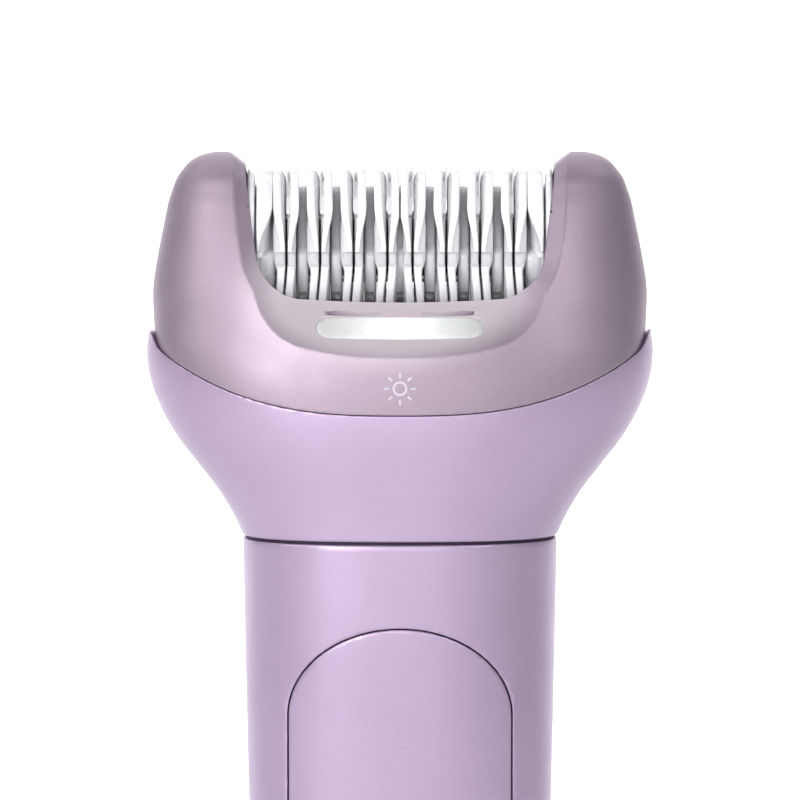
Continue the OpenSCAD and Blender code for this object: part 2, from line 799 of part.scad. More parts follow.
handle_front_shell();
handle_back_shell();
front_panel();
panel_gasket();
button_ring();
status_lens();
status_led();
circuit_board();
tact_switch();
base_cap();
base_seal();
charging_socket();
socket_contacts();
inner_frame();
battery();
battery_tabs();
motor_can();
motor_end_cap();
motor_terminals();
motor_screws();
neck_collar();
neck_seal();
head_contacts();
casing_screws();
release_spring();
motor_shaft();
drive_dog();
power_button();
release_button();
head_base();
head_frame();
light_lens();
light_leds();
light_board();
light_icon();
drum_cradle();
side_plates();
drum_axle();
gear_bracket();
head_pins();
head_screws();
contact_pads();
seam_gasket();
drum_core();
fixed_discs();
end_discs();
drum_gear();
pinch_discs_left();
pinch_plate_left();
pinch_discs_right();
pinch_plate_right();
input_coupler();
input_pinion();
crown_gear();
layshaft();
idler_gear();
cam_roller_left();
cam_roller_right();
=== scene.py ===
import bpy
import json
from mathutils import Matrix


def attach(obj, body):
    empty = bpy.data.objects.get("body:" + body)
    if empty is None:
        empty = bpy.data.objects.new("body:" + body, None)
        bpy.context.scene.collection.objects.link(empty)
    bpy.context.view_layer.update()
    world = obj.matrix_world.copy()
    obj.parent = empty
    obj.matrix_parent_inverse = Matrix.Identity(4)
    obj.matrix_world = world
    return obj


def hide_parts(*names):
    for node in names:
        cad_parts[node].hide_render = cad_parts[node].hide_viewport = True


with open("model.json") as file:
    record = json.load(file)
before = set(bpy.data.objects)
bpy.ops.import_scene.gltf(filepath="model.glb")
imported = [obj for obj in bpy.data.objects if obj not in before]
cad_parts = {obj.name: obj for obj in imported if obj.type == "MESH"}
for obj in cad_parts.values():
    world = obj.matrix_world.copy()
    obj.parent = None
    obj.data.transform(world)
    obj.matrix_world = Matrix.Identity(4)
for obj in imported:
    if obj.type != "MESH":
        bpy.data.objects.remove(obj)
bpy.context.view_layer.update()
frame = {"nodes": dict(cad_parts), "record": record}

import json
import math

import bpy
import numpy as np
from mathutils import Vector

MM = 0.001
N_EXP = 2.5
DRUM_Z = 157.8


# ---------------------------------------------------------------- numbers
def fit(q, xs, ys):
    """A smooth curve through (xs, ys), held flat past the ends."""
    xs = np.asarray(xs, float)
    ys = np.asarray(ys, float)
    q = np.clip(q, xs[0], xs[-1])
    m = np.empty_like(ys)
    d = np.diff(ys) / np.diff(xs)
    h = np.diff(xs)
    m[1:-1] = (d[:-1] * h[1:] + d[1:] * h[:-1]) / (h[:-1] + h[1:])
    m[0], m[-1] = d[0], d[-1]
    i = np.clip(np.searchsorted(xs, q, side="right") - 1, 0, len(xs) - 2)
    t = (q - xs[i]) / h[i]
    a, b = ys[i], ys[i + 1]
    ma, mb = m[i] * h[i], m[i + 1] * h[i]
    t2 = t * t
    t3 = t2 * t
    return (2 * t3 - 3 * t2 + 1) * a + (t3 - 2 * t2 + t) * ma + (3 * t2 - 2 * t3) * b + (t3 - t2) * mb


def step(q, a, b):
    t = np.clip((q - a) / (b - a), 0, 1)
    return t * t * (3 - 2 * t)


def smax(a, b, k):
    return np.maximum(a, b) + np.maximum(k - np.abs(a - b), 0) ** 2 / (4 * k)


def smin(a, b, k):
    return -smax(-a, -b, k)


HANDLE = np.array([
    [0, 9.5, 8.5, 8.5], [1.2, 11.8, 10.6, 10.6], [4, 13.4, 12.0, 11.8],
    [10, 14.3, 12.8, 12.4], [25, 15.0, 12.6, 13.2], [45, 15.4, 11.2, 14.6],
    [65, 15.6, 10.4, 15.4], [85, 16.0, 11.2, 15.2], [105, 16.5, 13.0, 14.4],
    [126.45, 16.95, 14.7, 14.0]])
HEAD = np.array([
    [126.75, 16.95, 14.7, 14.0], [129, 18.0, 15.0, 14.1],
    [131.5, 19.5, 15.4, 14.3], [134.5, 21.8, 15.9, 14.5],
    [137.5, 24.1, 16.3, 14.7], [140.5, 25.8, 16.5, 14.7],
    [143.5, 26.9, 16.5, 14.6], [146.5, 27.3, 16.2, 14.3],
    [150, 26.9, 15.6, 13.9], [153.5, 26.7, 14.7, 13.3],
    [157, 26.1, 13.5, 12.5], [160.5, 25.4, 12.0, 11.4],
    [163.5, 24.7, 10.3, 10.0], [166, 23.5, 8.3, 8.1],
    [167.4, 22.0, 6.0, 5.9], [168, 20.7, 4.4, 4.3]])


def section(table, z):
    a = fit(z, table[:, 0], table[:, 1])
    f = fit(z, table[:, 0], table[:, 2])
    b = fit(z, table[:, 0], table[:, 3])
    return a, f, b


def loft(table, x, y, z, widen=0.0):
    """Distance to the casing's outer skin, below 0 inside it."""
    e = 0.02
    a, f, b = section(table, z)
    a2, f2, b2 = section(table, z + e)
    front = y < 0
    d = np.where(front, f, b)
    d2 = np.where(front, f2, b2)
    a, a2 = a + widen, a2 + widen
    d, d2 = d + widen, d2 + widen
    u, v = np.abs(x) / a, np.abs(y) / d
    un, vn = u ** (N_EXP - 1), v ** (N_EXP - 1)
    s = np.maximum(un * u + vn * v, 1e-6)
    root = s ** (1 / N_EXP)
    k = root / s
    gx, gy = k * un / a, k * vn / d
    gz = k * (un * u * (a2 - a) / a + vn * v * (d2 - d) / d) / e
    return (root - 1) / np.sqrt(gx * gx + gy * gy + gz * gz + 1e-9)


# ---------------------------------------------------------------- meshes
def slopes(fun, p, e=0.004):
    g = np.empty_like(p)
    for k in range(3):
        q = p.copy()
        q[:, k] += e
        r = p.copy()
        r[:, k] -= e
        g[:, k] = fun(q[:, 0], q[:, 1], q[:, 2]) - fun(r[:, 0], r[:, 1], r[:, 2])
    n = np.linalg.norm(g, axis=1, keepdims=True)
    return g / np.maximum(n, 1e-12), n / (2 * e)


def contour(fun, lo, hi, h):
    """Meshes fun = 0 on a grid of pitch h, keeping sharp edges: one point a cell, placed where the planes at its crossings meet."""
    lo = np.asarray(lo, float)
    n = np.ceil((np.asarray(hi, float) - lo) / h).astype(int) + 1
    ax = [lo[k] + h * np.arange(n[k]) for k in range(3)]
    f = np.empty(n)
    for i0 in range(0, n[0], 16):
        i1 = min(i0 + 16, n[0])
        x, y, z = np.meshgrid(ax[0][i0:i1], ax[1], ax[2], indexing="ij")
        f[i0:i1] = fun(x, y, z)
    inside = f < 0
    cells = np.zeros(n - 1, bool)
    hits = []
    for k in range(3):
        a = [slice(None)] * 3
        b = [slice(None)] * 3
        a[k], b[k] = slice(0, -1), slice(1, None)
        idx = np.argwhere(inside[tuple(a)] != inside[tuple(b)])
        far = idx.copy()
        far[:, k] += 1
        fa, fb = f[tuple(idx.T)], f[tuple(far.T)]
        p0 = lo + h * idx
        p1 = lo + h * far
        t0, t1, v0, v1 = np.zeros(len(idx)), np.ones(len(idx)), fa, fb
        for _ in range(4):
            t = np.clip(t0 + (t1 - t0) * v0 / (v0 - v1), t0 + 0.02 * (t1 - t0), t1 - 0.02 * (t1 - t0))
            p = p0 + (p1 - p0) * t[:, None]
            v = fun(p[:, 0], p[:, 1], p[:, 2])
            same = (v < 0) == (v0 < 0)
            t0, v0 = np.where(same, t, t0), np.where(same, v, v0)
            t1, v1 = np.where(same, t1, t), np.where(same, v1, v)
        g, _ = slopes(fun, p)
        hits.append((k, idx, p, g, fa < 0))
        j, l = (k + 1) % 3, (k + 2) % 3
        for dj in (0, 1):
            for dl in (0, 1):
                c = idx.copy()
                c[:, j] -= dj
                c[:, l] -= dl
                ok = (c[:, j] >= 0) & (c[:, l] >= 0) & (c[:, j] < n[j] - 1) & (c[:, l] < n[l] - 1)
                cells[tuple(c[ok].T)] = True
    del f
    number = np.full(n - 1, -1, np.int64)
    cell_at = np.argwhere(cells)
    m = len(cell_at)
    number[tuple(cell_at.T)] = np.arange(m)
    ata = np.zeros((m, 3, 3))
    atb = np.zeros((m, 3))
    mass = np.zeros((m, 3))
    count = np.zeros(m)
    quads = []
    for k, idx, p, g, low in hits:
        j, l = (k + 1) % 3, (k + 2) % 3
        ring = []
        for dj, dl in ((0, 0), (1, 0), (1, 1), (0, 1)):
            c = idx.copy()
            c[:, j] -= dj
            c[:, l] -= dl
            ok = (c[:, j] >= 0) & (c[:, l] >= 0) & (c[:, j] < n[j] - 1) & (c[:, l] < n[l] - 1)
            ids = np.full(len(c), -1)
            ids[ok] = number[tuple(c[ok].T)]
            ring.append(ids)
            w = ids[ok]
            gg, pp = g[ok], p[ok]
            d = (gg * pp).sum(1)
            for r in range(3):
                mass[:, r] += np.bincount(w, pp[:, r], m)
                atb[:, r] += np.bincount(w, gg[:, r] * d, m)
                for q in range(r, 3):
                    s = np.bincount(w, gg[:, r] * gg[:, q], m)
                    ata[:, r, q] += s
                    if q > r:
                        ata[:, q, r] += s
            count += np.bincount(w, minlength=m)
        q = np.stack(ring, 1)
        q = np.where(low[:, None], q, q[:, ::-1])
        quads.append(q[(q >= 0).all(1)])
    mass /= count[:, None]
    lam = 0.03 * count[:, None, None] * np.eye(3)
    rhs = atb + 0.03 * count[:, None] * mass
    v = np.linalg.solve(ata + lam, rhs[..., None])[..., 0]
    base = lo + h * cell_at
    v = np.clip(v, base + 0.02 * h, base + 0.98 * h)
    for _ in range(2):
        g, size = slopes(fun, v)
        d = fun(v[:, 0], v[:, 1], v[:, 2])[:, None] / np.maximum(size, 0.3)
        v = v - g * np.clip(d, -0.25 * h, 0.25 * h)
    return v, np.concatenate(quads)


def corner_normals(fun, v, f):
    """A normal for each face corner: smooth over the skin, and split where two skins meet."""
    at = v[f]
    mid = at.mean(1, keepdims=True)
    n0, _ = slopes(fun, v)
    ins = (at + 0.4 * (mid - at)).reshape(-1, 3)
    n1, _ = slopes(fun, ins)
    n0 = n0[f].reshape(-1, 3)
    same = (n0 * n1).sum(1) > math.cos(math.radians(14))
    return np.where(same[:, None], n0, n1)


def make(name, v, f, mats, body, covers=(), slot=None, normals=None, face_mat=None, smooth=True, angle=None):
    """A mesh piece from points in millimetres."""
    me = bpy.data.meshes.new(name)
    v = np.asarray(v, float) * MM
    if isinstance(f, np.ndarray):
        nf, k = f.shape
        me.vertices.add(len(v))
        me.vertices.foreach_set("co", v.astype(np.float32).ravel())
        me.loops.add(nf * k)
        me.loops.foreach_set("vertex_index", f.astype(np.int32).ravel())
        me.polygons.add(nf)
        me.polygons.foreach_set("loop_start", np.arange(0, nf * k, k, dtype=np.int32))
        me.polygons.foreach_set("loop_total", np.full(nf, k, np.int32))
        me.update(calc_edges=True)
    else:
        me.from_pydata([tuple(p) for p in v], [], f)
    me.validate()
    mats = mats if isinstance(mats, (list, tuple)) else [mats]
    for m in mats:
        me.materials.append(m)
    if face_mat is not None:
        me.polygons.foreach_set("material_index", np.asarray(face_mat, np.int32))
    me.polygons.foreach_set("use_smooth", np.full(len(me.polygons), smooth, bool))
    if normals is not None and len(normals) == len(me.loops):
        me.normals_split_custom_set([tuple(q) for q in normals])
    elif angle is not None:
        me.set_sharp_from_angle(angle=math.radians(angle))
    o = bpy.data.objects.new(name, me)
    bpy.context.scene.collection.objects.link(o)
    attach(o, body)
    if covers:
        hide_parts(*covers)
    return o


def carve(name, fun, lo, hi, h, mats, body, **kw):
    """A moulded piece from its distance function."""
    v, f = contour(fun, lo, hi, h)
    f = sweep_faces(v, f)
    if callable(kw.get("face_mat")):
        kw["face_mat"] = kw["face_mat"](v, f)
    return make(name, v, f, mats, body, normals=corner_normals(fun, v, f), **kw)


def sweep_faces(v, f):
    """Filters quads by the area of their diagonals, with a limit of zero that keeps every quad."""
    a = v[f[:, 2]] - v[f[:, 0]]
    b = v[f[:, 3]] - v[f[:, 1]]
    return f if len(f) == 0 else f[np.linalg.norm(np.cross(a, b), axis=1) >= 0]


def grid(rows, closed_u=False, closed_v=False, off=0):
    """Quads over a rows x columns block of points."""
    r, c = rows
    i = np.arange(r if closed_u else r - 1)
    j = np.arange(c if closed_v else c - 1)
    i, j = np.meshgrid(i, j, indexing="ij")
    i2, j2 = (i + 1) % r, (j + 1) % c
    q = np.stack([i * c + j, i * c + j2, i2 * c + j2, i2 * c + j], -1)
    return q.reshape(-1, 4) + off


# ---------------------------------------------------------------- materials
def nodes_of(name):
    m = bpy.data.materials.new(name)
    m.use_nodes = True
    t = m.node_tree
    t.nodes.clear()
    out = t.nodes.new("ShaderNodeOutputMaterial")
    sh = t.nodes.new("ShaderNodeBsdfPrincipled")
    t.links.new(sh.outputs["BSDF"], out.inputs["Surface"])
    return m, t, sh


def srgb(c):
    return tuple((v / 12.92 if v <= 0.04045 else ((v + 0.055) / 1.055) ** 2.4) for v in (q / 255 for q in c)) + (1.0,)


def noise(t, scale, detail=3.0, rough=0.55, vec=None):
    n = t.nodes.new("ShaderNodeTexNoise")
    n.inputs["Scale"].default_value = scale
    n.inputs["Detail"].default_value = detail
    n.inputs["Roughness"].default_value = rough
    if vec is None:
        vec = place(t)
    t.links.new(vec, n.inputs["Vector"])
    return n.outputs["Fac"]


def place(t):
    """The point's own place on the part, in metres."""
    c = t.nodes.new("ShaderNodeTexCoord")
    return c.outputs["Object"]


def ramp(t, fac, stops, mode="LINEAR"):
    r = t.nodes.new("ShaderNodeValToRGB")
    r.color_ramp.interpolation = mode
    e = r.color_ramp.elements
    while len(e) < len(stops):
        e.new(0.5)
    for q, (p, c) in zip(e, stops):
        q.position = p
        q.color = c if len(c) == 4 else tuple(c) + (1.0,)
    t.links.new(fac, r.inputs["Fac"])
    return r.outputs["Color"]


def remap(t, fac, a, b, c, d):
    r = t.nodes.new("ShaderNodeMapRange")
    for k, val in zip(("From Min", "From Max", "To Min", "To Max"), (a, b, c, d)):
        r.inputs[k].default_value = val
    t.links.new(fac, r.inputs["Value"])
    return r.outputs["Result"]


def bump(t, sh, height, strength, distance=0.0001, normal=None):
    b = t.nodes.new("ShaderNodeBump")
    b.inputs["Strength"].default_value = strength
    b.inputs["Distance"].default_value = distance
    t.links.new(height, b.inputs["Height"])
    if normal is not None:
        t.links.new(normal, b.inputs["Normal"])
    if sh is not None:
        t.links.new(b.outputs["Normal"], sh.inputs["Normal"])
    return b.outputs["Normal"]


def put(sh, **kw):
    for k, val in kw.items():
        s = sh.inputs[k.replace("_", " ")]
        s.default_value = val


def surface(name, lo, hi, rough=(0.3, 0.4), metal=0.0, scale=60.0, grain=2600.0, depth=0.06,
            coat=0.0, coat_rough=0.1, spec=0.5, sheen=0.0, fine=0.5, subsurface=0.0, ior=1.46):
    """A procedural finish: colour that drifts between two tones, a grain in relief, and a gloss that varies."""
    m, t, sh = nodes_of(name)
    v = place(t)
    broad = noise(t, scale, 4.0, 0.6, v)
    t.links.new(ramp(t, broad, [(0.3, srgb(lo)), (0.7, srgb(hi))], "EASE"), sh.inputs["Base Color"])
    t.links.new(remap(t, noise(t, scale * 5, 5.0, 0.6, v), 0.3, 0.7, rough[0], rough[1]), sh.inputs["Roughness"])
    bump(t, sh, noise(t, grain, 2.0, fine, v), depth, 0.00006)
    put(sh, Metallic=metal, IOR=ior)
    sh.inputs["Specular IOR Level"].default_value = spec
    if coat:
        sh.inputs["Coat Weight"].default_value = coat
        sh.inputs["Coat Roughness"].default_value = coat_rough
    if sheen:
        sh.inputs["Sheen Weight"].default_value = sheen
        sh.inputs["Sheen Roughness"].default_value = 0.4
    if subsurface:
        sh.inputs["Subsurface Weight"].default_value = subsurface
        sh.inputs["Subsurface Radius"].default_value = (0.0012, 0.001, 0.001)
        sh.inputs["Subsurface Scale"].default_value = 1.0
    return m


def pearl(name, lo, hi, flake, rough, metal=0.4, painted_lens_light=None):
    """Pearl lacquer over moulded plastic: mica in the colour, a satin skin with faint orange peel, and a thin clear
    coat; an optional painted light adds emission round a point, fading with distance.
    """
    m, t, sh = nodes_of(name)
    v = place(t)
    broad = noise(t, 38.0, 3.0, 0.5, v)
    body = ramp(t, broad, [(0.25, srgb(lo)), (0.75, srgb(hi))], "EASE")
    mica = t.nodes.new("ShaderNodeTexVoronoi")
    mica.inputs["Scale"].default_value = 9000.0
    t.links.new(v, mica.inputs["Vector"])
    spark = remap(t, mica.outputs["Distance"], 0.0, 0.5, 0.22, 0.0)
    mix = t.nodes.new("ShaderNodeMix")
    mix.data_type = "RGBA"
    t.links.new(spark, mix.inputs["Factor"])
    t.links.new(body, mix.inputs["A"])
    mix.inputs["B"].default_value = srgb(flake)
    t.links.new(mix.outputs["Result"], sh.inputs["Base Color"])
    t.links.new(remap(t, noise(t, 260.0, 4.0, 0.6, v), 0.3, 0.7, rough[0], rough[1]), sh.inputs["Roughness"])
    peel = bump(t, None, noise(t, 900.0, 2.0, 0.5, v), 0.05, 0.00005)
    bump(t, sh, noise(t, 5200.0, 2.0, 0.6, v), 0.04, 0.00003, peel)
    sh.inputs["Metallic"].default_value = metal
    sh.inputs["Specular IOR Level"].default_value = 0.5
    sh.inputs["Coat Weight"].default_value = 0.06
    sh.inputs["Coat Roughness"].default_value = 0.32
    sh.inputs["Sheen Weight"].default_value = 0.0
    sh.inputs["Sheen Roughness"].default_value = 0.5
    # Painted light: emission on the casing standing in for the work light's spill round the lens, strongest at a point
    # and fading out between two distances.
    if painted_lens_light is not None:
        at, inner, outer, power = painted_lens_light
        mp = t.nodes.new("ShaderNodeMapping")
        mp.inputs["Scale"].default_value = (0.62, 1.0, 1.0)
        t.links.new(v, mp.inputs["Vector"])
        sub = t.nodes.new("ShaderNodeVectorMath")
        sub.operation = "DISTANCE"
        t.links.new(mp.outputs["Vector"], sub.inputs[0])
        sub.inputs[1].default_value = at
        far = t.nodes.new("ShaderNodeMapRange")
        far.interpolation_type = "SMOOTHSTEP"
        for key, val in zip(("From Min", "From Max", "To Min", "To Max"), (inner, outer, power, 0.0)):
            far.inputs[key].default_value = val
        t.links.new(sub.outputs["Value"], far.inputs["Value"])
        t.links.new(far.outputs["Result"], sh.inputs["Emission Strength"])
        sh.inputs["Emission Color"].default_value = srgb((255, 250, 252))
    return m


def ceramic_white(name="ceramic_white", dim=1.0):
    """Glazed ceramic: near white, with a clear gloss."""
    m, t, sh = nodes_of(name)
    v = place(t)
    # A dim below 1 makes a darker copy of the glaze, used as painted shade.
    c = tuple(q * dim for q in (250, 250, 251))
    d = tuple(q * dim for q in (241, 242, 245))
    t.links.new(ramp(t, noise(t, 240.0, 4.0, 0.6, v), [(0.3, srgb(d)), (0.7, srgb(c))]), sh.inputs["Base Color"])
    t.links.new(remap(t, noise(t, 900.0, 4.0, 0.6, v), 0.3, 0.7, 0.16, 0.26), sh.inputs["Roughness"])
    bump(t, sh, noise(t, 3000.0, 2.0, 0.5, v), 0.03, 0.00004)
    sh.inputs["Coat Weight"].default_value = 0.3
    sh.inputs["Coat Roughness"].default_value = 0.08
    return m


def core_plastic_painted_shade(name):
    """The drum's barrel: grey plastic with painted shade that darkens it towards the axle, standing in for the shade
    deep between the discs, with fine turned lines round it.
    """
    m, t, sh = nodes_of(name)
    v = place(t)
    sep = t.nodes.new("ShaderNodeSeparateXYZ")
    t.links.new(v, sep.inputs[0])
    comb = t.nodes.new("ShaderNodeCombineXYZ")
    off = t.nodes.new("ShaderNodeMath")
    off.operation = "SUBTRACT"
    off.inputs[1].default_value = DRUM_Z * MM
    t.links.new(sep.outputs["Z"], off.inputs[0])
    t.links.new(sep.outputs["Y"], comb.inputs["Y"])
    t.links.new(off.outputs[0], comb.inputs["Z"])
    length = t.nodes.new("ShaderNodeVectorMath")
    length.operation = "LENGTH"
    t.links.new(comb.outputs[0], length.inputs[0])
    # Painted shade: the grey runs from dark near the axle to light at the rims' depth.
    t.links.new(ramp(t, remap(t, length.outputs["Value"], 0.0044, 0.0074, 0, 1),
                     [(0.0, srgb((118, 119, 121))), (0.5, srgb((172, 174, 176))), (1.0, srgb((232, 234, 235)))]),
                sh.inputs["Base Color"])
    wave = t.nodes.new("ShaderNodeTexWave")
    wave.bands_direction = "X"
    wave.inputs["Scale"].default_value = 900.0
    wave.inputs["Distortion"].default_value = 1.5
    t.links.new(v, wave.inputs["Vector"])
    bump(t, sh, wave.outputs["Fac"], 0.12, 0.00003)
    t.links.new(remap(t, noise(t, 500.0, 4.0, 0.6, v), 0.3, 0.7, 0.24, 0.36), sh.inputs["Roughness"])
    return m


def lens_plastic(name, at, half, low, high):
    """Frosted clear plastic lit from behind: brightest over its middle."""
    m, t, sh = nodes_of(name)
    v = place(t)
    sep = t.nodes.new("ShaderNodeSeparateXYZ")
    t.links.new(v, sep.inputs[0])
    ab = t.nodes.new("ShaderNodeMath")
    ab.operation = "ABSOLUTE"
    t.links.new(sep.outputs["X"], ab.inputs[0])
    fall = remap(t, ab.outputs[0], 0.0, half, 1.0, 0.0)
    grain = remap(t, noise(t, 1800.0, 3.0, 0.6, v), 0.3, 0.7, -0.012, 0.012)
    add = t.nodes.new("ShaderNodeMath")
    add.operation = "ADD"
    t.links.new(fall, add.inputs[0])
    t.links.new(grain, add.inputs[1])
    power = t.nodes.new("ShaderNodeMath")
    power.operation = "POWER"
    t.links.new(remap(t, add.outputs[0], 0.0, 1.0, 0.0, 1.0), power.inputs[0])
    power.inputs[1].default_value = 1.6
    t.links.new(remap(t, power.outputs[0], 0.0, 1.0, low, high), sh.inputs["Emission Strength"])
    sh.inputs["Emission Color"].default_value = srgb((255, 254, 250))
    t.links.new(ramp(t, add.outputs[0], [(0.0, srgb((196, 200, 197))), (0.5, srgb((214, 218, 215))), (1.0, srgb((244, 246, 243)))]),
                sh.inputs["Base Color"])
    t.links.new(remap(t, noise(t, 700.0, 3.0, 0.6, v), 0.3, 0.7, 0.24, 0.34), sh.inputs["Roughness"])
    bump(t, sh, noise(t, 2600.0, 2.0, 0.5, v), 0.04, 0.00003)
    sh.inputs["Coat Weight"].default_value = 0.4
    sh.inputs["Coat Roughness"].default_value = 0.12
    return m


def brushed(name, lo, hi, rough=(0.22, 0.36), scale=(40.0, 40.0, 4000.0), metal=1.0):
    """Drawn or turned metal with fine parallel lines."""
    m, t, sh = nodes_of(name)
    mp = t.nodes.new("ShaderNodeMapping")
    mp.inputs["Scale"].default_value = scale
    t.links.new(place(t), mp.inputs["Vector"])
    n = noise(t, 1.0, 3.0, 0.6, mp.outputs["Vector"])
    t.links.new(ramp(t, n, [(0.3, srgb(lo)), (0.7, srgb(hi))]), sh.inputs["Base Color"])
    t.links.new(remap(t, n, 0.3, 0.7, rough[0], rough[1]), sh.inputs["Roughness"])
    bump(t, sh, n, 0.06, 0.00002)
    sh.inputs["Metallic"].default_value = metal
    return m


LENS_AT = (0.0, -12.83 * MM, 149.5 * MM)
# The frame's mauve carries painted light from the lens: emission on the band round the light window.
mauve = pearl("mauve_pearl_painted_lens_light", (156, 140, 154), (165, 149, 163), (236, 224, 240), (0.44, 0.50), metal=0.55, painted_lens_light=((-0.0008, -0.0095, 0.1525), 0.0070, 0.0114, 0.34))
# Painted shadow: a darker mauve for the faces in the groove over the light window, with its own painted light from the
# lens fading towards the groove's ends.
mauve_shade = pearl("mauve_groove_painted_shadow", (122, 108, 120), (132, 117, 130), (190, 178, 192), (0.5, 0.58), metal=0.3,
                    painted_lens_light=((0.0, -0.0095, 0.1525), 0.0026, 0.0056, 0.34))
lilac = pearl("lilac_pearl", (180, 160, 188), (188, 168, 196), (238, 224, 246), (0.34, 0.40), metal=0.45)
lilac_key = pearl("lilac_key", (176, 152, 196), (186, 163, 204), (236, 220, 248), (0.34, 0.42))
white_glaze = ceramic_white()
# Painted shade: a dimmer copy of the glaze for the faces in the gaps between lobes, where the rim sits deeper in shade.
painted_gap_shade = ceramic_white("ceramic_painted_gap_shade", 0.86)
grey_core = core_plastic_painted_shade("core_grey_plastic_painted_shade")
steel = brushed("drawn_steel", (150, 152, 156), (196, 198, 202))
ring_metal = brushed("satin_ring", (186, 176, 196), (220, 212, 228), (0.24, 0.32), (300.0, 300.0, 300.0))
brass = brushed("turned_brass", (176, 136, 70), (214, 176, 104), (0.2, 0.32), (500.0, 500.0, 500.0))
dark_plastic = surface("dark_moulding", (30, 30, 34), (44, 44, 49), (0.42, 0.56), depth=0.2)
grey_plastic = surface("grey_moulding", (92, 94, 98), (112, 114, 118), (0.42, 0.56), depth=0.2)
nylon = surface("milky_nylon", (222, 218, 206), (236, 232, 222), (0.34, 0.46), depth=0.12)
rubber = surface("seal_rubber", (36, 22, 44), (50, 34, 60), (0.6, 0.75), depth=0.3, grain=4200.0)
board_green = surface("board_green", (22, 74, 46), (34, 96, 60), (0.28, 0.4), scale=220.0, grain=5200.0, coat=0.5)
cell_wrap = surface("cell_wrap", (70, 122, 74), (88, 142, 90), (0.22, 0.32), scale=90.0, coat=0.4)
led_cap = lens_plastic("led_cap", LENS_AT, 0.02, 0.2, 0.8)
lens_mat = lens_plastic("light_lens_plastic", LENS_AT, 0.0090, 0.03, 0.42)
status_mat = surface("status_window", (206, 210, 212), (226, 229, 230), (0.2, 0.3), coat=0.5, depth=0.03)
print_ink = surface("icon_ink", (206, 196, 208), (218, 210, 220), (0.42, 0.5), scale=400.0, depth=0.08)
lilac_cap = lilac

SLOT_MAT = {
    "mauve_shell": mauve, "lilac_shell": lilac, "lilac_button": lilac_key, "trim_ring": ring_metal,
    "lens": lens_mat, "icon_print": print_ink, "ceramic": white_glaze, "core_grey": grey_core,
    "dark_plastic": dark_plastic, "grey_plastic": grey_plastic, "nylon": nylon, "steel": steel,
    "brass": brass, "seal": rubber, "board": board_green, "cell": cell_wrap, "led": led_cap,
}
for sub in frame["record"]["subparts"]:
    o = frame["nodes"].get(sub["node"])
    mat = SLOT_MAT.get(sub.get("material_slot"))
    if o is None or mat is None:
        continue
    if sub["node"] == "status_lens":
        mat = status_mat
    if len(o.data.materials) == 0:
        o.data.materials.append(mat)
    for s in o.material_slots:
        s.material = mat


# ---------------------------------------------------------------- head casing
SEAM_MID, SEAM_RISE = 140.3, 7.1


def seam(x, y):
    """Height of the joint between the head's frame and base; at the flanks the base stands a little higher."""
    u = np.abs(x) / 26.4
    return SEAM_MID + SEAM_RISE * np.power(np.maximum(u, 1e-6), 2.8) + 1.1 * step(np.abs(x), 25.2, 27.0) * step(y, -9.0, -3.0)


LIP_T = [-0.9, -0.4, 0.0, 0.35, 0.7, 1.0, 1.3, 1.6, 2.0]
LIP_S = [1.15, 1.65, 1.6, 1.9, 3.3, 4.5, 5.15, 5.5, 5.6]


def slot_terms(x, z):
    """Distance to the slot's wall, above 0 in the casing, and the width of the sloping lip round it."""
    ax = np.abs(x)
    w = 15.3 + (z - 156.4) * 0.136
    bottom = 152.05 + 0.0033 * x * x
    r = 4.0
    qx, qz = ax - w + r, bottom - z + r
    s = np.hypot(np.maximum(qx, 0), np.maximum(qz, 0)) + np.minimum(np.maximum(qx, qz), 0) - r
    t_side = np.where(z > 155.3, (155.3 - z) / 13.0, np.arctan2(np.maximum(155.3 - z, 0), np.maximum(ax - 12.1, 1e-3)) / (math.pi / 2))
    t = np.where((ax < 12.1) & (z < 155.3), 1 + (12.1 - ax) / 12.1, t_side)
    t = np.where((ax < 12.1) & (z >= 155.3), 1.0, t)
    return s, fit(t, LIP_T, LIP_S)


def head_solid(x, y, z):
    """The frame's outer form with the slot, its sloping lip and the bevelled horn tips; the wall's inside is offset from it."""
    d = loft(HEAD, x, y, z)
    d = smax(d, z - 168.0, 0.5)
    s, lip = slot_terms(x, z)
    f = smax(d, -s, 0.12)
    deep = lip * (1 - 0.05 * step(lip, 2.0, 5.0))
    cut = (d / deep - s / lip + 1) / np.sqrt(1 / deep ** 2 + 1 / lip ** 2)
    f = smax(f, cut, 0.10)
    tip = (np.abs(x) - 16.7) * 0.607 - (z - 166.7) * 0.795
    return smax(f, -tip, 0.12)


def pill(u, v, half, r):
    return np.hypot(np.maximum(np.abs(u) - (half - r), 0), v) - r


SLOPE = math.radians(42.6)


def lens_uv(y, z):
    dy, dz = y + 12.83, z - 149.5
    return dy * math.cos(SLOPE) + dz * math.sin(SLOPE), -dy * math.sin(SLOPE) + dz * math.cos(SLOPE)


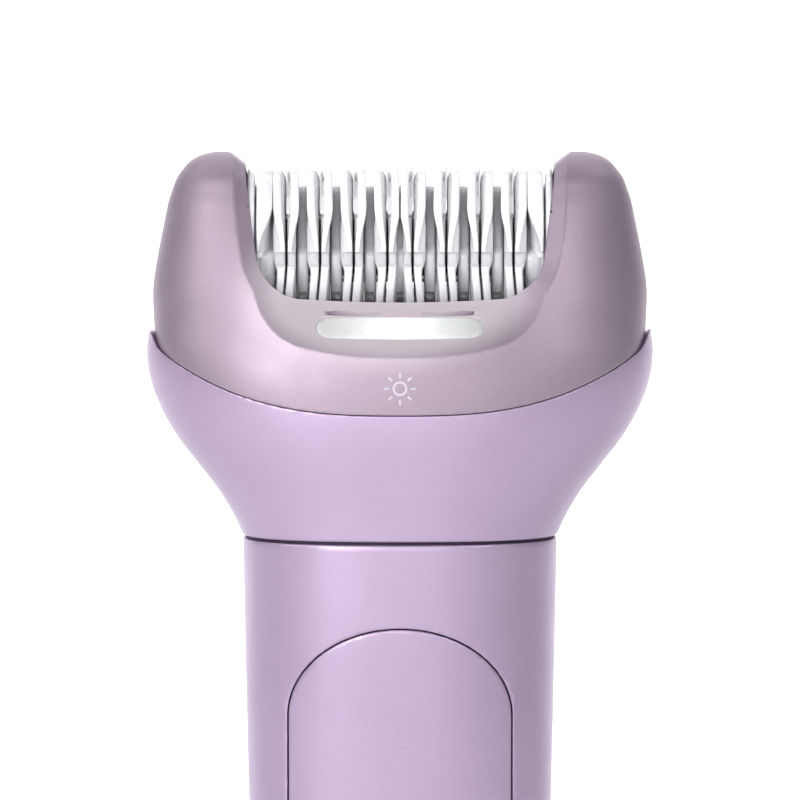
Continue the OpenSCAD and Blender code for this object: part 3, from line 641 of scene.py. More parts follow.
def frame_fun(x, y, z):
    zs = seam(x, y)
    tuck = 0.75 * step(np.abs(x), 23.8, 27.0) * np.exp(-np.maximum(z - zs, 0) / 2.4)
    solid = head_solid(x, y, z)
    f = solid + tuck
    sl = 0.7534 * np.power(np.abs(x) / 26.4, 1.8)
    edge = (zs + 0.04 - z) / np.sqrt(1 + sl * sl)
    f = smax(f, edge, 0.10)
    core = np.maximum(np.maximum(solid, loft(HEAD, x, y, z)) + 1.5, np.minimum(18.7 - np.abs(x), z - 150.0))
    f = np.maximum(f, -core)
    rad = np.hypot(y, z - DRUM_Z)
    keep = np.minimum(solid + 0.45, np.maximum(rad - 8.66, np.abs(x) - 16.5))
    keep = np.minimum(keep, np.minimum(np.abs(x) - 15.45, rad - 8.35))
    f = np.maximum(f, -np.maximum(np.maximum(rad - 9.2, np.abs(x) - 18.4), keep))
    f = np.maximum(f, -np.maximum(np.maximum(rad - 10.6, np.abs(x) - 18.9), z - 153.0))
    v, w = lens_uv(y, z)
    hole = np.maximum(pill(x, v, 8.99, 1.63), np.abs(w) - 3.0)
    f = smax(f, -hole, 0.16)
    ax = np.abs(x)
    line = np.hypot(v - 2.2, w - 0.30 * step(ax, 6.6, 8.2) - 0.34 * step(-ax, -4.6, -1.6))
    groove = np.maximum(line - 0.30, ax - 8.2)
    return smax(f, -groove, 0.1)


def base_fun(x, y, z):
    d = loft(HEAD, x, y, z)
    zs = seam(x, y)
    sl = 0.7534 * np.power(np.abs(x) / 26.4, 1.8)
    f = smax(d, (z - zs + 0.04) / np.sqrt(1 + sl * sl), 0.10)
    f = smax(f, 126.75 - z, 0.3)
    return np.maximum(f, -(d + 1.6))


def painted_groove_shadow_faces(v, f):
    """1 for the faces inside the groove over the light window, which get the painted shadow."""
    c = v[f].mean(1)
    q, w = lens_uv(c[:, 1], c[:, 2])
    ax = np.abs(c[:, 0])
    sink = w - 0.30 * step(ax, 6.6, 8.2) - 0.34 * step(-ax, -4.6, -1.6)
    return ((np.abs(q - 2.2) < 0.34) & (np.abs(sink) < 0.45) & (ax < 7.9) & (ax > 2.2)).astype(np.int32)


# Faces in the groove over the light window get the painted-shadow mauve.
head_frame = carve("head_frame_skin", frame_fun, (-27.6, -17.0, 139.9), (27.6, 15.2, 168.4), 0.27, [mauve, mauve_shade], "head",
                   covers=("head_frame",), slot="mauve_shell", face_mat=painted_groove_shadow_faces)
head_base = carve("head_base_skin", base_fun, (-27.8, -17.0, 126.3), (27.8, 15.2, 150.0), 0.33, lilac, "head",
                  slot="lilac_shell")


# Four screw bosses inside the base, under the bracket's corners
def ring_stack(profile, n=24):
    """Points of a turned profile of (radius, height) pairs about Z."""
    a = np.linspace(0, 2 * math.pi, n, endpoint=False)
    return np.array([[(r * math.cos(q), r * math.sin(q), h) for q in a] for r, h in profile]).reshape(-1, 3)


def turned(profile, n=24, closed=True):
    """A turned solid; the profile is a loop when closed is true, so that it has a bore."""
    v = ring_stack(profile, n)
    f = grid((len(profile), n), closed, True)
    return v, f[:, ::-1]


def merge(parts):
    vs, fs, k = [], [], 0
    for v, f in parts:
        vs.append(v)
        fs.append(f + k)
        k += len(v)
    return np.concatenate(vs), np.concatenate(fs)


boss = []
for sx in (-1, 1):
    for sy in (-1, 1):
        v, f = turned([(0.75, 132.55), (0.75, 130.15), (1.9, 130.15), (2.05, 130.3), (2.3, 132.4), (2.15, 132.6)], 28)
        boss.append((v + (sx * 10.9, sy * 8.7, 0), f))
v, f = merge(boss)
boss_o = make("head_bosses", v, f, lilac, "head", slot="lilac_shell", angle=35)
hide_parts("head_base")


# ---------------------------------------------------------------- handle casing
def handle_skin(x, y, z):
    return loft(HANDLE, x, y, z)


def panel_line(x, z):
    """Distance to the front panel's outline, below 0 on the panel."""
    zc = np.clip(z, 61.5, 107.9)
    u, v = x / 11.9, (z - zc) / 9.5
    r = np.hypot(u, v)
    g = np.hypot(u / 11.9, v / 9.5) / np.maximum(r, 1e-6)
    return (r - 1) / np.maximum(g, 1e-3)


def shell_front(x, y, z):
    d = handle_skin(x, y, z)
    f = smax(d, -panel_line(x, z) + 0.13, 0.2)
    f = smax(f, y + 0.06, 0.16)
    f = smax(f, z - 126.45, 0.3)
    f = smax(f, 10.42 - z, 0.22)
    return np.maximum(f, -(d + 1.6))


def shell_back(x, y, z):
    d = handle_skin(x, y, z)
    f = smax(d, 0.06 - y, 0.16)
    f = smax(f, z - 126.45, 0.3)
    f = smax(f, 10.42 - z, 0.22)
    hole = pill(x, z - 114.0, 4.8, 2.6)
    f = smax(f, -hole, 0.3)
    f = np.maximum(f, -(d + 1.6))
    ledge = np.maximum(np.maximum(np.abs(np.abs(x) - 9.5) - 3.0, np.abs(z - 11.55) - 0.85), np.maximum(0.1 - y, d + 1.5))
    ledge = np.maximum(ledge, -(np.hypot(np.abs(x) - 9.0, y - 4.0) - 0.9))
    rib = np.maximum(np.maximum(np.abs(y) - 0.8, np.abs(z - 69.0) - 56.5), np.maximum(d + 1.5, -(d + 2.4)))
    return np.minimum(np.minimum(f, ledge), rib)


def panel_fun(x, y, z):
    d = handle_skin(x, y, z)
    f = smax(d, panel_line(x, z) + 0.0, 0.22)
    f = smax(f, -(np.hypot(x, z - 84.0) - 7.7), 0.18)
    f = smax(f, -pill(x, z - 66.0, 3.6, 1.1), 0.16)
    return np.maximum(np.maximum(f, -(d + 1.4)), y + 2.0)


def cap_fun(x, y, z):
    d = smax(handle_skin(x, y, z), -z, 0.6)
    f = smax(d, z - 10.0, 0.22)
    hole = np.hypot(x, y - 4.4)
    f = smax(f, -(hole - 2.75), 0.3)
    foot = np.maximum(np.abs(loft(HANDLE, x, y, np.full_like(z, 0.6)) + 2.2) - 0.45, z - 0.28)
    f = smax(f, -foot, 0.1)
    inner = np.maximum(loft(HANDLE, x, y, z) + 2.0, 2.2 - z)
    return np.maximum(f, -inner)


carve("handle_front_skin", shell_front, (-17.3, -15.2, 10.0), (17.3, 0.6, 126.9), 0.42, lilac, "handle",
      covers=("handle_front_shell",), slot="lilac_shell")
carve("handle_back_skin", shell_back, (-17.3, -1.4, 10.0), (17.3, 15.9, 126.9), 0.45, lilac, "handle",
      covers=("handle_back_shell",), slot="lilac_shell")
carve("front_panel_skin", panel_fun, (-12.4, -15.2, 51.5), (12.4, -1.5, 117.6), 0.34, lilac, "handle",
      covers=("front_panel",), slot="lilac_shell")
carve("base_cap_skin", cap_fun, (-14.8, -13.3, -0.3), (14.8, 13.0, 10.4), 0.33, lilac, "handle",
      covers=("base_cap",), slot="lilac_shell")


# ---------------------------------------------------------------- drum
def pair_x(i):
    return 1.34 + 3.6 * i


GAP, THICK, DISC_R, NOTCH_R = 0.24, 0.9, 8.8, 7.7
TURN = 53.5
H = GAP / 2


def lobe(phi):
    """For angles in degrees from +Y towards +Z: the phase in the lobe, 0 at its leading end and 90 at its trailing end, and whether it is one of the two spread lobes."""
    q = phi - (TURN - 45.0)
    return np.mod(q, 90.0), np.mod(np.floor(q / 90.0), 2) > 0.5


def stations():
    """Angles round a disc, close together at the lobes' ends."""
    base = np.concatenate([np.linspace(0, 4.0, 4), np.linspace(4.6, 6.6, 6), np.linspace(8.0, 82.0, 26),
                           np.linspace(83.4, 85.4, 6), np.linspace(86.0, 90, 4, endpoint=False)])
    return np.concatenate([base + 90 * k for k in range(4)]) + TURN - 45.0


def rim_radius(u):
    """The lobed outline: half a gap at each end of the 90 degrees, and the lobe's corners eased."""
    rise = step(u, 4.7, 6.2) * (1 - step(u, 83.7, 85.2))
    nose = 0.12 * (1 - step(u, 6.0, 11.0)) + 0.12 * step(u, 79.0, 84.0)
    return NOTCH_R + (DISC_R - NOTCH_R) * rise - nose * rise


# Along a lobe: how far a rim's inner face stands from the slit's middle, and the rim's width, in millimetres.
SPREAD = [0, 5, 15, 40, 56, 68, 78, 84.5, 90]
SPREAD_OUT = [0.40, 0.55, 0.60, 0.54, 0.46, 0.29, 0.16, 0.12, 0.12]
SPREAD_OUT_W = [0.84, 0.90, 0.92, 0.92, 0.90, 0.70, 0.57, 0.56, 0.82]
SPREAD_IN = [0.00, 0.24, 0.34, 0.40, 0.40, 0.29, 0.17, 0.12, 0.12]
SPREAD_IN_W = [0.84, 0.92, 0.95, 0.96, 0.94, 0.68, 0.55, 0.54, 0.82]
SHUT = [0, 5, 30, 60, 82, 90]
SHUT_OUT = [0.12, 0.13, 0.42, 0.52, 0.46, 0.40]
SHUT_IN = [0.12, 0.11, -0.18, -0.28, -0.15, 0.00]
SHUT_OUT_W = [0.82, 0.82, 0.80, 0.82, 0.84, 0.84]
SHUT_IN_W = [0.82, 0.82, 0.88, 0.88, 0.86, 0.84]
EDGE = ((0.60, 0.0), (0.28, 0.015), (0.12, 0.05), (0.03, 0.10), (0.0, 0.19))


def disc(xs, side, outer, bore, widest=9.0):
    """A lobed ceramic disc of the pair whose slit is at xs; side is the direction away from the slit. Its rim leans and tapers along each lobe, and its web stays flat on the barrel."""
    phi = stations()
    u, spread = lobe(phi)
    off = np.where(spread, fit(u, SPREAD, SPREAD_OUT if outer else SPREAD_IN), fit(u, SHUT, SHUT_OUT if outer else SHUT_IN))
    wide = np.where(spread, fit(u, SPREAD, SPREAD_OUT_W if outer else SPREAD_IN_W), fit(u, SHUT, SHUT_OUT_W if outer else SHUT_IN_W))
    wide = np.minimum(wide, widest - off)
    flare = np.where(spread, 0.42 * step(u, 50.0, 64.0), 0.42 * (1 - step(u, 0.0, 14.0))) if outer else 0.0
    r_out = rim_radius(u)
    c, s = np.cos(np.radians(phi)), np.sin(np.radians(phi))
    pts = []
    seq = [(0, q, 0.0) for q in (bore, 4.9, 5.6, 6.3, 7.0, 7.5)] + [(1, a, b) for a, b in EDGE]
    for back in (0, 1):
        for kind, q, inset in (seq[::-1] if back else seq):
            r = np.minimum(q, r_out - 0.65) if kind == 0 else r_out - q
            w = step(r, 7.0, 8.6)
            if not outer:
                w = w + (step(r, 4.9, 7.4) - w) * np.where(spread, step(u, 3.0, 14.0), 0.0)
            face = H + (off - H) * w
            far = H + THICK + (off + wide - H - THICK) * step(r, 6.6, 8.6) + flare * step(r, 4.9, 7.0) * (1 - step(r, 7.0, 8.7))
            ins = inset * np.minimum((far - face) / 0.9, 1.0)
            x = far - ins if back else face + ins
            pts.append(np.stack([xs + side * x, r * c, DRUM_Z + r * s], 1))
    v = np.stack(pts, 0).reshape(-1, 3)
    f = grid((len(pts), len(phi)), True, True)
    return v, (f if side > 0 else f[:, ::-1])


def arc_block(x0, x1, r0, r1, a0, a1, n=10, ease=0.1):
    """A curved block between two radii, with eased edges, from angle a0 to a1 in degrees."""
    a = np.radians(np.linspace(a0, a1, n))
    v = []
    for i, q in enumerate(a):
        cut = ease if i in (0, n - 1) else 0.0
        prof = [(x0, r0), (x1, r0), (x1, r1 - ease - cut), (x1 - ease, r1 - cut), (x0 + ease, r1 - cut), (x0, r1 - ease - cut)]
        v += [(px, pr * math.cos(q), DRUM_Z + pr * math.sin(q)) for px, pr in prof]
    m = 6
    f = [list(range(m))[::-1], [(n - 1) * m + k for k in range(m)]]
    for i in range(n - 1):
        for k in range(m):
            k2 = (k + 1) % m
            f.append([i * m + k, i * m + k2, (i + 1) * m + k2, (i + 1) * m + k])
    return np.array(v), f


def join(name, parts, mats, body, **kw):
    vs, fs, k = [], [], 0
    for v, f in parts:
        vs.append(np.asarray(v, float))
        fs += [[int(q) + k for q in face] for face in f]
        k += len(v)
    return make(name, np.concatenate(vs), fs, mats, body, **kw)


def gap_faces(v, f):
    """1 for the faces in the gaps between lobes, which get a dimmer glaze as painted shade."""
    mid = v[f].mean(1)
    r = np.hypot(mid[:, 1], mid[:, 2] - DRUM_Z)
    u, _ = lobe(np.degrees(np.arctan2(mid[:, 2] - DRUM_Z, mid[:, 1])))
    return (((u < 5.4) | (u > 84.6)) & (r > 6.6)).astype(np.int32)


def discs(name, rows, body, node):
    v, f = merge([disc(*q) for q in rows])
    # Faces in the lobe gaps take the dimmer glaze copy, painted shade.
    return make(name, v, f, [white_glaze, painted_gap_shade], body, covers=(node,), slot="ceramic", angle=50, face_mat=gap_faces(v, f))


fixed, left, right = [], [], []
for i in range(4):
    x = pair_x(i)
    most = 1.28 if i == 0 else 9.0
    fixed.append((x, -1, False, 3.4, most))
    fixed.append((-x, 1, False, 3.4, most))
    left.append((-x, -1, True, 3.52))
    right.append((x, 1, True, 3.52))
discs("fixed_tweezer_discs", fixed, "drum", "fixed_discs")
discs("moving_tweezer_discs_left", left, "pinch_left", "pinch_discs_left")
discs("moving_tweezer_discs_right", right, "pinch_right", "pinch_discs_right")


def end_disc(s):
    """The broad wedge at each end of the drum: flat outside, its inner face running out along each spread lobe."""
    phi = stations()
    u, spread = lobe(phi)
    r_out = rim_radius(u)
    inner = np.where(spread, 13.62 + 1.40 * step(u, 48.0, 84.0), 14.9)
    r_out = np.where(spread, r_out, 6.9 + 0 * u)
    seq = [(0, q, 0.0) for q in (3.4, 5.0, 6.2, 7.0)] + [(1, 0.5, 0.0), (1, 0.24, 0.02), (1, 0.08, 0.07), (1, 0.0, 0.18)]
    pts = []
    for back in (0, 1):
        for kind, q, inset in (seq[::-1] if back else seq):
            r = np.minimum(q, r_out - 0.6) if kind == 0 else r_out - q
            w = step(r, 5.4, 8.0)
            inn = 13.9 + (inner - 13.9) * w
            ins = np.minimum(inset, 0.4 * (15.36 - inn))
            x = 15.36 - ins if back else inn + ins
            pts.append(np.stack([s * x, r * np.cos(np.radians(phi)), DRUM_Z + r * np.sin(np.radians(phi))], 1))
    v = np.stack(pts, 0).reshape(-1, 3)
    f = grid((len(pts), len(phi)), True, True)
    return v, (f if s > 0 else f[:, ::-1])


def turned_x(profile, n=96):
    """A turned ring about the drum's axis; the profile is a loop of (x, radius)."""
    a = np.linspace(0, 2 * math.pi, n, endpoint=False)
    v = np.array([[(px, pr * math.cos(q), DRUM_Z + pr * math.sin(q)) for q in a] for px, pr in profile]).reshape(-1, 3)
    return v, grid((len(profile), n), True, True)


ends = []
for s in (-1, 1):
    ends.append(end_disc(s))
    prof = [(15.55, 3.4), (15.55, 7.5), (15.58, 8.1), (15.66, 8.36), (15.82, 8.52), (16.0, 8.58), (16.2, 8.52), (16.34, 8.35), (16.4, 8.1), (16.4, 3.4)]
    v, f = turned_x([(s * a, b) for a, b in prof])
    ends.append((v, f if s > 0 else f[:, ::-1]))
v, f = merge(ends)
make("end_tweezer_discs", v, f, white_glaze, "drum", covers=("end_discs",), slot="ceramic", angle=50)


# The barrel: a crowned collar between the pairs, shallow at each lobe's leading end and deep behind it, with a row of square pockets
def barrel(x0, x1, deep=6.0, high=6.9):
    phi = np.linspace(0, 360, 180, endpoint=False) + TURN - 45.0
    u, spread = lobe(phi)
    r = np.where(spread, 6.5 + (deep - 6.5) * step(u, 14.0, 36.0) + (high - deep) * step(u, 78.0, 90.0), high + (6.5 - high) * step(u, 20.0, 90.0))
    pocket = np.where(~spread & (u > 36.0) & (u < 43.0), 1.0, 0.0)
    xs = x0 + (x1 - x0) * np.array([0, 0.10, 0.2, 0.24, 0.4, 0.6, 0.76, 0.8, 0.9, 1.0])
    crown = [0.62, 0.25, 0.08, 0.06, 0.0, 0.0, 0.06, 0.08, 0.25, 0.62]
    c, s = np.cos(np.radians(phi)), np.sin(np.radians(phi))
    pts = [np.stack([np.full_like(phi, x0), 3.2 * c, DRUM_Z + 3.2 * s], 1)]
    for k, (x, e) in enumerate(zip(xs, crown)):
        rr = r - e - (0.9 * pocket if 3 <= k <= 6 else 0.0)
        pts.append(np.stack([np.full_like(phi, x), rr * c, DRUM_Z + rr * s], 1))
    pts.append(np.stack([np.full_like(phi, x1), 3.2 * c, DRUM_Z + 3.2 * s], 1))
    return np.stack(pts, 0).reshape(-1, 3), grid((len(pts), len(phi)), True, True)


core = [turned_x([(-16.45, 1.08), (-16.45, 3.3), (-16.35, 3.4), (19.9, 3.4), (20.0, 3.3), (20.0, 1.08)], 72)]
for s in (-1, 1):
    for i in range(3):
        a, b = sorted((s * (pair_x(i) + 1.26), s * (pair_x(i) + 2.50)))
        core.append(barrel(a, b))
    lo, hi = sorted((s * 13.36, s * 15.2))
    core.append(barrel(lo, hi, 5.6, 7.3))
    lo, hi = sorted((s * 15.3, s * 15.56))
    core.append(turned_x([(lo, 3.2), (lo, 6.6), (hi, 6.6), (hi, 3.2)], 72))
core.append(barrel(-0.62, 0.62, 6.2, 6.9))
v, f = merge(core)
# The barrel's grey carries painted shade, darker towards the axle.
make("drum_barrel", v, f, grey_core, "drum", covers=("drum_core",), slot="core_grey", angle=40)

# Bridges across the spread lobes' mouths, fixed to the inner disc and clear of the moving one through its travel:
# start and end angle, base radius, cap radius (0 for none)
BRIDGES = ((7.0, 34.0, 7.42, 0), (36.0, 53.0, 7.48, 7.85), (53.6, 80.0, 7.25, 0))
bridge = []
for i in range(4):
    for s in (-1, 1):
        x = s * pair_x(i)
        a, b = sorted((x - s * 0.09, x - s * 0.5))
        c, d = sorted((x - s * 0.0, x - s * 0.5))
        for k in (1, 3):
            lead = TURN - 45.0 + 90 * k
            for u0, u1, base, cap in BRIDGES:
                bridge.append(arc_block(a, b, 5.2, base, lead + u0, lead + u1))
                if cap:
                    bridge.append(arc_block(c, d, base + 0.02, cap, lead + u0, lead + u1))
# The bridges share the barrel's grey with its painted shade towards the axle.
join("pair_bridges", bridge, grey_core, "drum", slot="core_grey", angle=30)


# ---------------------------------------------------------------- lens, icon and small parts
def lens_piece():
    """The work light's window: a pillowed pill with a rounded rim and a flange behind it."""
    n = 96
    half, r = 8.92, 1.56
    a = np.linspace(0, 2 * math.pi, n, endpoint=False)
    cu = np.sign(np.cos(a)) * (half - r)
    cu[np.abs(np.cos(a)) < 1e-9] = 0
    pts = []
    rings = [(1.0, -1.3), (1.0, -0.12), (0.985, -0.02), (0.95, 0.05), (0.88, 0.09), (0.7, 0.125), (0.45, 0.145), (0.2, 0.15)]
    for k, h in rings:
        pts.append(np.stack([cu * (k if k < 0.9 else 1.0) + r * k * np.cos(a), r * k * np.sin(a), np.full(n, h)], 1))
    m = len(rings)
    v = np.stack(pts, 0).reshape(-1, 3)
    faces = [list(map(int, q))[::-1] for q in grid((m, n), False, True)]
    faces.append(list(range(n)))
    faces.append([(m - 1) * n + k for k in range(n)][::-1])
    c, s = math.cos(SLOPE), math.sin(SLOPE)
    w = np.stack([v[:, 0], -12.83 + v[:, 1] * c - v[:, 2] * s, 149.5 + v[:, 1] * s + v[:, 2] * c], 1)
    faces = [f[::-1] for f in faces]
    return make("light_window", w, faces, lens_mat, "head", covers=("light_lens",), slot="lens", angle=50)


def skin_y(x, z, table, front=True):
    a, f, b = section(table, np.asarray(z, float))
    d = f if front else b
    y = d * np.power(np.maximum(1 - np.power(np.abs(x) / a, N_EXP), 0), 1 / N_EXP)
    return -y if front else y


def icon_piece():
    """The printed sun: a ring and eight rays, a raised print that follows the casing."""
    parts = []
    zc = 143.2
    n = 48
    a = np.linspace(0, 2 * math.pi, n, endpoint=False)
    rows = [(0.55, 0.06), (0.56, -0.035), (0.60, -0.05), (0.74, -0.05), (0.78, -0.035), (0.79, 0.06)]
    v = []
    for r, d in rows:
        x, z = r * np.cos(a), zc + r * np.sin(a)
        v.append(np.stack([x, skin_y(x, z, HEAD) + d, z], 1))
    v = np.stack(v, 0).reshape(-1, 3)
    parts.append((v, [list(map(int, q))[::-1] for q in grid((len(rows), n), True, True)]))
    for k in range(8):
        t = math.radians(45 * k)
        c, s = math.cos(t), math.sin(t)
        ring = []
        for d, e in ((0.06, 0.0), (-0.03, 0.0), (-0.05, 0.03)):
            m = 20
            q = np.linspace(0, 2 * math.pi, m, endpoint=False)
            rr = 0.115 - e
            u = 1.43 + np.sign(np.cos(q)) * (0.3 - 0.115) + rr * np.cos(q)
            w = rr * np.sin(q)
            x, z = u * c - w * s, zc + u * s + w * c
            ring.append(np.stack([x, skin_y(x, z, HEAD) + d, z], 1))
        v = np.stack(ring, 0).reshape(-1, 3)
        f = [list(map(int, q)) for q in grid((3, 20), False, True)]
        f = [q[::-1] for q in f]
        f.append(list(range(20)))
        f.append([40 + j for j in range(20)][::-1])
        parts.append((v, [g[::-1] for g in f]))
    return join("sun_icon", parts, print_ink, "head", covers=("light_icon",), slot="icon_print", angle=40)


lens_o = lens_piece()
icon_o = icon_piece()


def turned_y(profile, zc, n=96, closed=True):
    """A turned form about an axis along Y at height zc; profile of (radius, y)."""
    a = np.linspace(0, 2 * math.pi, n, endpoint=False)
    v = np.array([[(r * math.cos(q), y, zc + r * math.sin(q)) for q in a] for r, y in profile]).reshape(-1, 3)
    return v, grid((len(profile), n), closed, True)


def power_button():
    """A shallow dished key with a rounded edge and a raised power mark of a ring and a bar."""
    prof = [(0.02, -8.9), (2.0, -8.9), (2.0, -9.5), (6.2, -9.5), (6.2, -11.1), (6.16, -11.3), (6.05, -11.46), (5.85, -11.57),
            (5.5, -11.62), (5.0, -11.61), (4.2, -11.54), (3.0, -11.40), (1.8, -11.30), (0.8, -11.26), (0.02, -11.25)]
    v, f = turned_y(prof, 84.0, 96, True)
    body = (v, [list(map(int, q))[::-1] for q in f])

    def face_y(r):
        return np.interp(r, [0, 0.8, 1.8, 3.0, 4.2, 5.0], [-11.25, -11.26, -11.30, -11.40, -11.54, -11.61])

    marks = []
    t = np.linspace(math.radians(122), math.radians(418), 44)
    rows = []
    for r, d in ((1.55, 0.05), (1.57, -0.045), (1.62, -0.06), (1.83, -0.06), (1.88, -0.045), (1.90, 0.05)):
        rows.append(np.stack([r * np.cos(t), face_y(r) + d + 0 * t, 84.0 + r * np.sin(t)], 1))
    v = np.stack(rows, 0).reshape(-1, 3)
    n = len(t)
    f = [list(map(int, q))[::-1] for q in grid((6, n), True, False)]
    f.append([k * n for k in range(6)])
    f.append([k * n + n - 1 for k in range(6)][::-1])
    marks.append((v, f))
    ring = []
    q = np.linspace(0, 2 * math.pi, 24, endpoint=False)
    for d, e in ((0.05, 0.0), (-0.04, 0.0), (-0.06, 0.03)):
        rr = 0.17 - e
        x = rr * np.cos(q)
        z = 1.35 + np.sign(np.sin(q)) * 0.62 + rr * np.sin(q)
        ring.append(np.stack([x, face_y(np.hypot(x, z)) + d, 84.0 + z], 1))
    v = np.stack(ring, 0).reshape(-1, 3)
    f = [list(map(int, g)) for g in grid((3, 24), False, True)]
    f.append(list(range(24))[::-1])
    f.append([48 + j for j in range(24)])
    marks.append((v, f))
    o = join("power_key", [body], lilac_key, "power_button", covers=("power_button",), slot="lilac_button", angle=35)
    join("power_mark", marks, print_ink, "power_button", slot="icon_print", angle=40)
    return o


power_button()


def button_ring():
    """The satin trim ring round the key, following the panel's curve."""
    n = 128
    a = np.linspace(0, 2 * math.pi, n, endpoint=False)
    rows = []
    for r, d, flat in ((7.58, 1.3, 0), (7.58, 0.05, 0), (7.52, -0.08, 0), (7.36, -0.15, 0), (7.0, -0.17, 0), (6.72, -0.13, 0),
                       (6.58, -0.02, 0), (6.52, 0.16, 0), (6.52, 1.3, 0)):
        x, z = r * np.cos(a), 84.0 + r * np.sin(a)
        rows.append(np.stack([x, skin_y(x, z, HANDLE) + d, z], 1))
    v = np.stack(rows, 0).reshape(-1, 3)
    f = grid((len(rows), n), True, True)
    return make("key_trim_ring", v, f, ring_metal, "handle", covers=("button_ring",), slot="trim_ring", angle=45)


button_ring()


def pill_solid(cx, cz, y0, y1, half, r, dome, edge, n=64, sink=0.0):
    """A pill-shaped key along Y from y0 to its face at y1, domed and with a rounded edge."""
    a = np.linspace(0, 2 * math.pi, n, endpoint=False)
    sgn = 1.0 if y1 > y0 else -1.0
    cu = np.sign(np.cos(a)) * (half - r)
    pts = []
    rings = [(0.0, None), (0.0, edge), (0.3 * edge, 0.3 * edge), (edge, 0.0)]
    steps = [(0.0, y0), (0.0, y1 - sgn * edge), (0.13 * edge, y1 - sgn * 0.5 * edge), (0.5 * edge, y1 - sgn * 0.13 * edge), (edge, y1)]
    for e, y in steps:
        rr = r - e
        pts.append(np.stack([cx + cu + rr * np.cos(a), np.full(n, y), cz + rr * np.sin(a)], 1))
    for k in (0.75, 0.5, 0.25):
        rr = (r - edge) * k
        y = y1 + sgn * dome * (1 - k * k)
        pts.append(np.stack([cx + cu * (0.4 + 0.6 * k) + rr * np.cos(a), np.full(n, y), cz + rr * np.sin(a)], 1))
    m = len(pts)
    v = np.stack(pts, 0).reshape(-1, 3)
    f = [list(map(int, q)) for q in grid((m, n), False, True)]
    f.append(list(range(n))[::-1])
    f.append([(m - 1) * n + k for k in range(n)])
    return v, (f if sgn < 0 else [q[::-1] for q in f])


def release_key():
    parts = [pill_solid(0, 114.0, 11.2, 14.55, 4.5, 2.3, 0.12, 0.5)]
    parts.append(pill_solid(0, 114.0, 11.2, 12.1, 5.7, 3.5, 0.0, 0.15))
    grip = []
    for k in range(-2, 3):
        a, b = pill_solid(0, 0, 14.2, 14.86, 1.25, 0.24, 0.0, 0.18, 32)
        rot = a.copy()
        rot[:, 0] = a[:, 2] + k * 1.2
        rot[:, 2] = 114.0 + a[:, 0]
        grip.append((rot, [q[::-1] for q in b]))
    join("release_key", parts, lilac_key, "release_button", covers=("release_button",), slot="lilac_button", angle=40)
    join("release_grip", grip, lilac_key, "release_button", slot="lilac_button", angle=40)


release_key()
v, f = pill_solid(0, 66.0, -9.2, -10.28, 3.5, 1.0, 0.07, 0.16)
join("status_window_cap", [(v, f)], status_mat, "handle", covers=("status_lens",), slot="lens", angle=40)

# Fine edges on the machined and moulded CAD parts that stay in view
for name in ("neck_collar", "gear_bracket", "inner_frame", "side_plates", "drum_cradle", "charging_socket", "circuit_board",
             "motor_end_cap", "motor_can", "drum_gear", "idler_gear", "input_coupler", "drive_dog"):
    o = frame["nodes"].get(name)
    if o is not None:
        b = o.modifiers.new("eased_edges", "BEVEL")
        b.width = 0.00006
        b.segments = 2
        b.limit_method = "ANGLE"
        b.angle_limit = math.radians(40)
        b.harden_normals = False


# ---------------------------------------------------------------- floor, light, camera
def backdrop():
    """A pale sweep: a floor that curves up behind the part and, farther off, in front of it."""
    w = 3.2
    prof = [(-3.4, 3.6)] + [(-2.5 - 0.9 * math.sin(t), 0.9 - 0.9 * math.cos(t)) for t in np.linspace(math.pi / 2, 0, 24)] + [(1.3 + 0.9 * math.sin(t), 0.9 - 0.9 * math.cos(t)) for t in np.linspace(0, math.pi / 2, 24)] + [(2.2, 3.6)]
    v = np.array([(x, y, z) for y, z in prof for x in (-w, w)])
    f = [[2 * i, 2 * i + 1, 2 * i + 3, 2 * i + 2] for i in range(len(prof) - 1)]
    me = bpy.data.meshes.new("floor_sweep")
    me.from_pydata([tuple(p) for p in v], [], f)
    for p in me.polygons:
        p.use_smooth = True
    m = surface("floor_paper", (238, 238, 240), (243, 243, 245), (0.7, 0.8), scale=3.0, grain=500.0, depth=0.02, spec=0.2)
    me.materials.append(m)
    o = bpy.data.objects.new("floor_sweep", me)
    bpy.context.scene.collection.objects.link(o)
    o.location = (0, 0, -0.0002)
    return o


backdrop()


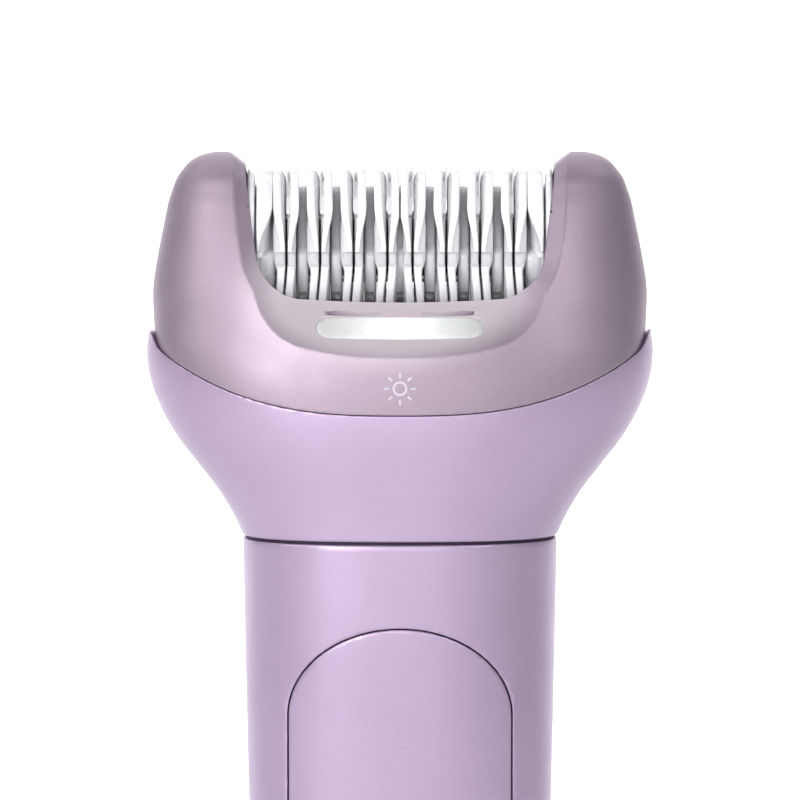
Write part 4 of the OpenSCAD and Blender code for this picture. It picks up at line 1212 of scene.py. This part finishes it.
def area(name, at, target, size, power, colour=(1, 1, 1), size_y=None, spread=None):
    l = bpy.data.lights.new(name, "AREA")
    l.energy = power
    l.color = colour
    l.shape = "RECTANGLE"
    l.size = size
    l.size_y = size_y or size
    if spread is not None:
        l.spread = spread
    o = bpy.data.objects.new(name, l)
    o.location = at
    d = Vector(target) - Vector(at)
    o.rotation_euler = d.to_track_quat("-Z", "Y").to_euler()
    bpy.context.scene.collection.objects.link(o)
    return o


MID = Vector((0, 0, 0.145))


def around(az, el, dist):
    """A point at that bearing from the front, left of it when az is negative."""
    a, e = math.radians(az), math.radians(el)
    return MID + Vector((math.sin(a) * math.cos(e), -math.cos(a) * math.cos(e), math.sin(e))) * dist


area("key_left", around(-27, 14, 0.6), MID, 0.20, 2.0, (1.0, 0.985, 1.0), 0.30)
area("side_left", around(-68, 32, 0.6), MID, 0.12, 0.9, (0.985, 0.985, 1.0), 0.42)
area("strip_right", around(44, 34, 0.6), MID, 0.07, 1.0, (0.985, 0.985, 1.0), 0.42)
area("fill_front", around(4, 7, 1.0), MID, 0.5, 0.68, (1, 1, 1), 0.34)
area("floor_front", (0.0, -2.3, 1.6), (0, -2.3, 0), 2.0, 22.0, (1, 1, 1), 2.0, math.radians(60))
area("back_wall", (0.0, 0.75, 1.5), (0, 2.2, 0.5), 2.4, 60.0, (1, 1, 1), 1.2)

world = bpy.data.worlds.new("studio")
bpy.context.scene.world = world
world.use_nodes = True
world.node_tree.nodes["Background"].inputs["Color"].default_value = (0.97, 0.97, 1.0, 1.0)
world.node_tree.nodes["Background"].inputs["Strength"].default_value = 0.14

ELEV = math.radians(2.9)
DIST = 0.80
look = Vector((0.00003, 0, 0.0))
centre = Vector((0.0, 0.0, 0.141 / math.cos(ELEV)))
cam = bpy.data.cameras.new("camera")
cam_o = bpy.data.objects.new("camera", cam)
bpy.context.scene.collection.objects.link(cam_o)
direction = Vector((0, -math.cos(ELEV), math.sin(ELEV)))
cam_o.location = centre + direction * DIST
cam_o.rotation_euler = (-direction).to_track_quat("-Z", "Y").to_euler()
cam.sensor_width = 36.0
cam.lens = 36.0 * DIST / 0.0864
cam.clip_start = 0.02
cam.clip_end = 20.0
cam.dof.use_dof = False
bpy.context.scene.camera = cam_o
bpy.context.scene.view_settings.view_transform = "Standard"
bpy.context.scene.view_settings.look = "None"
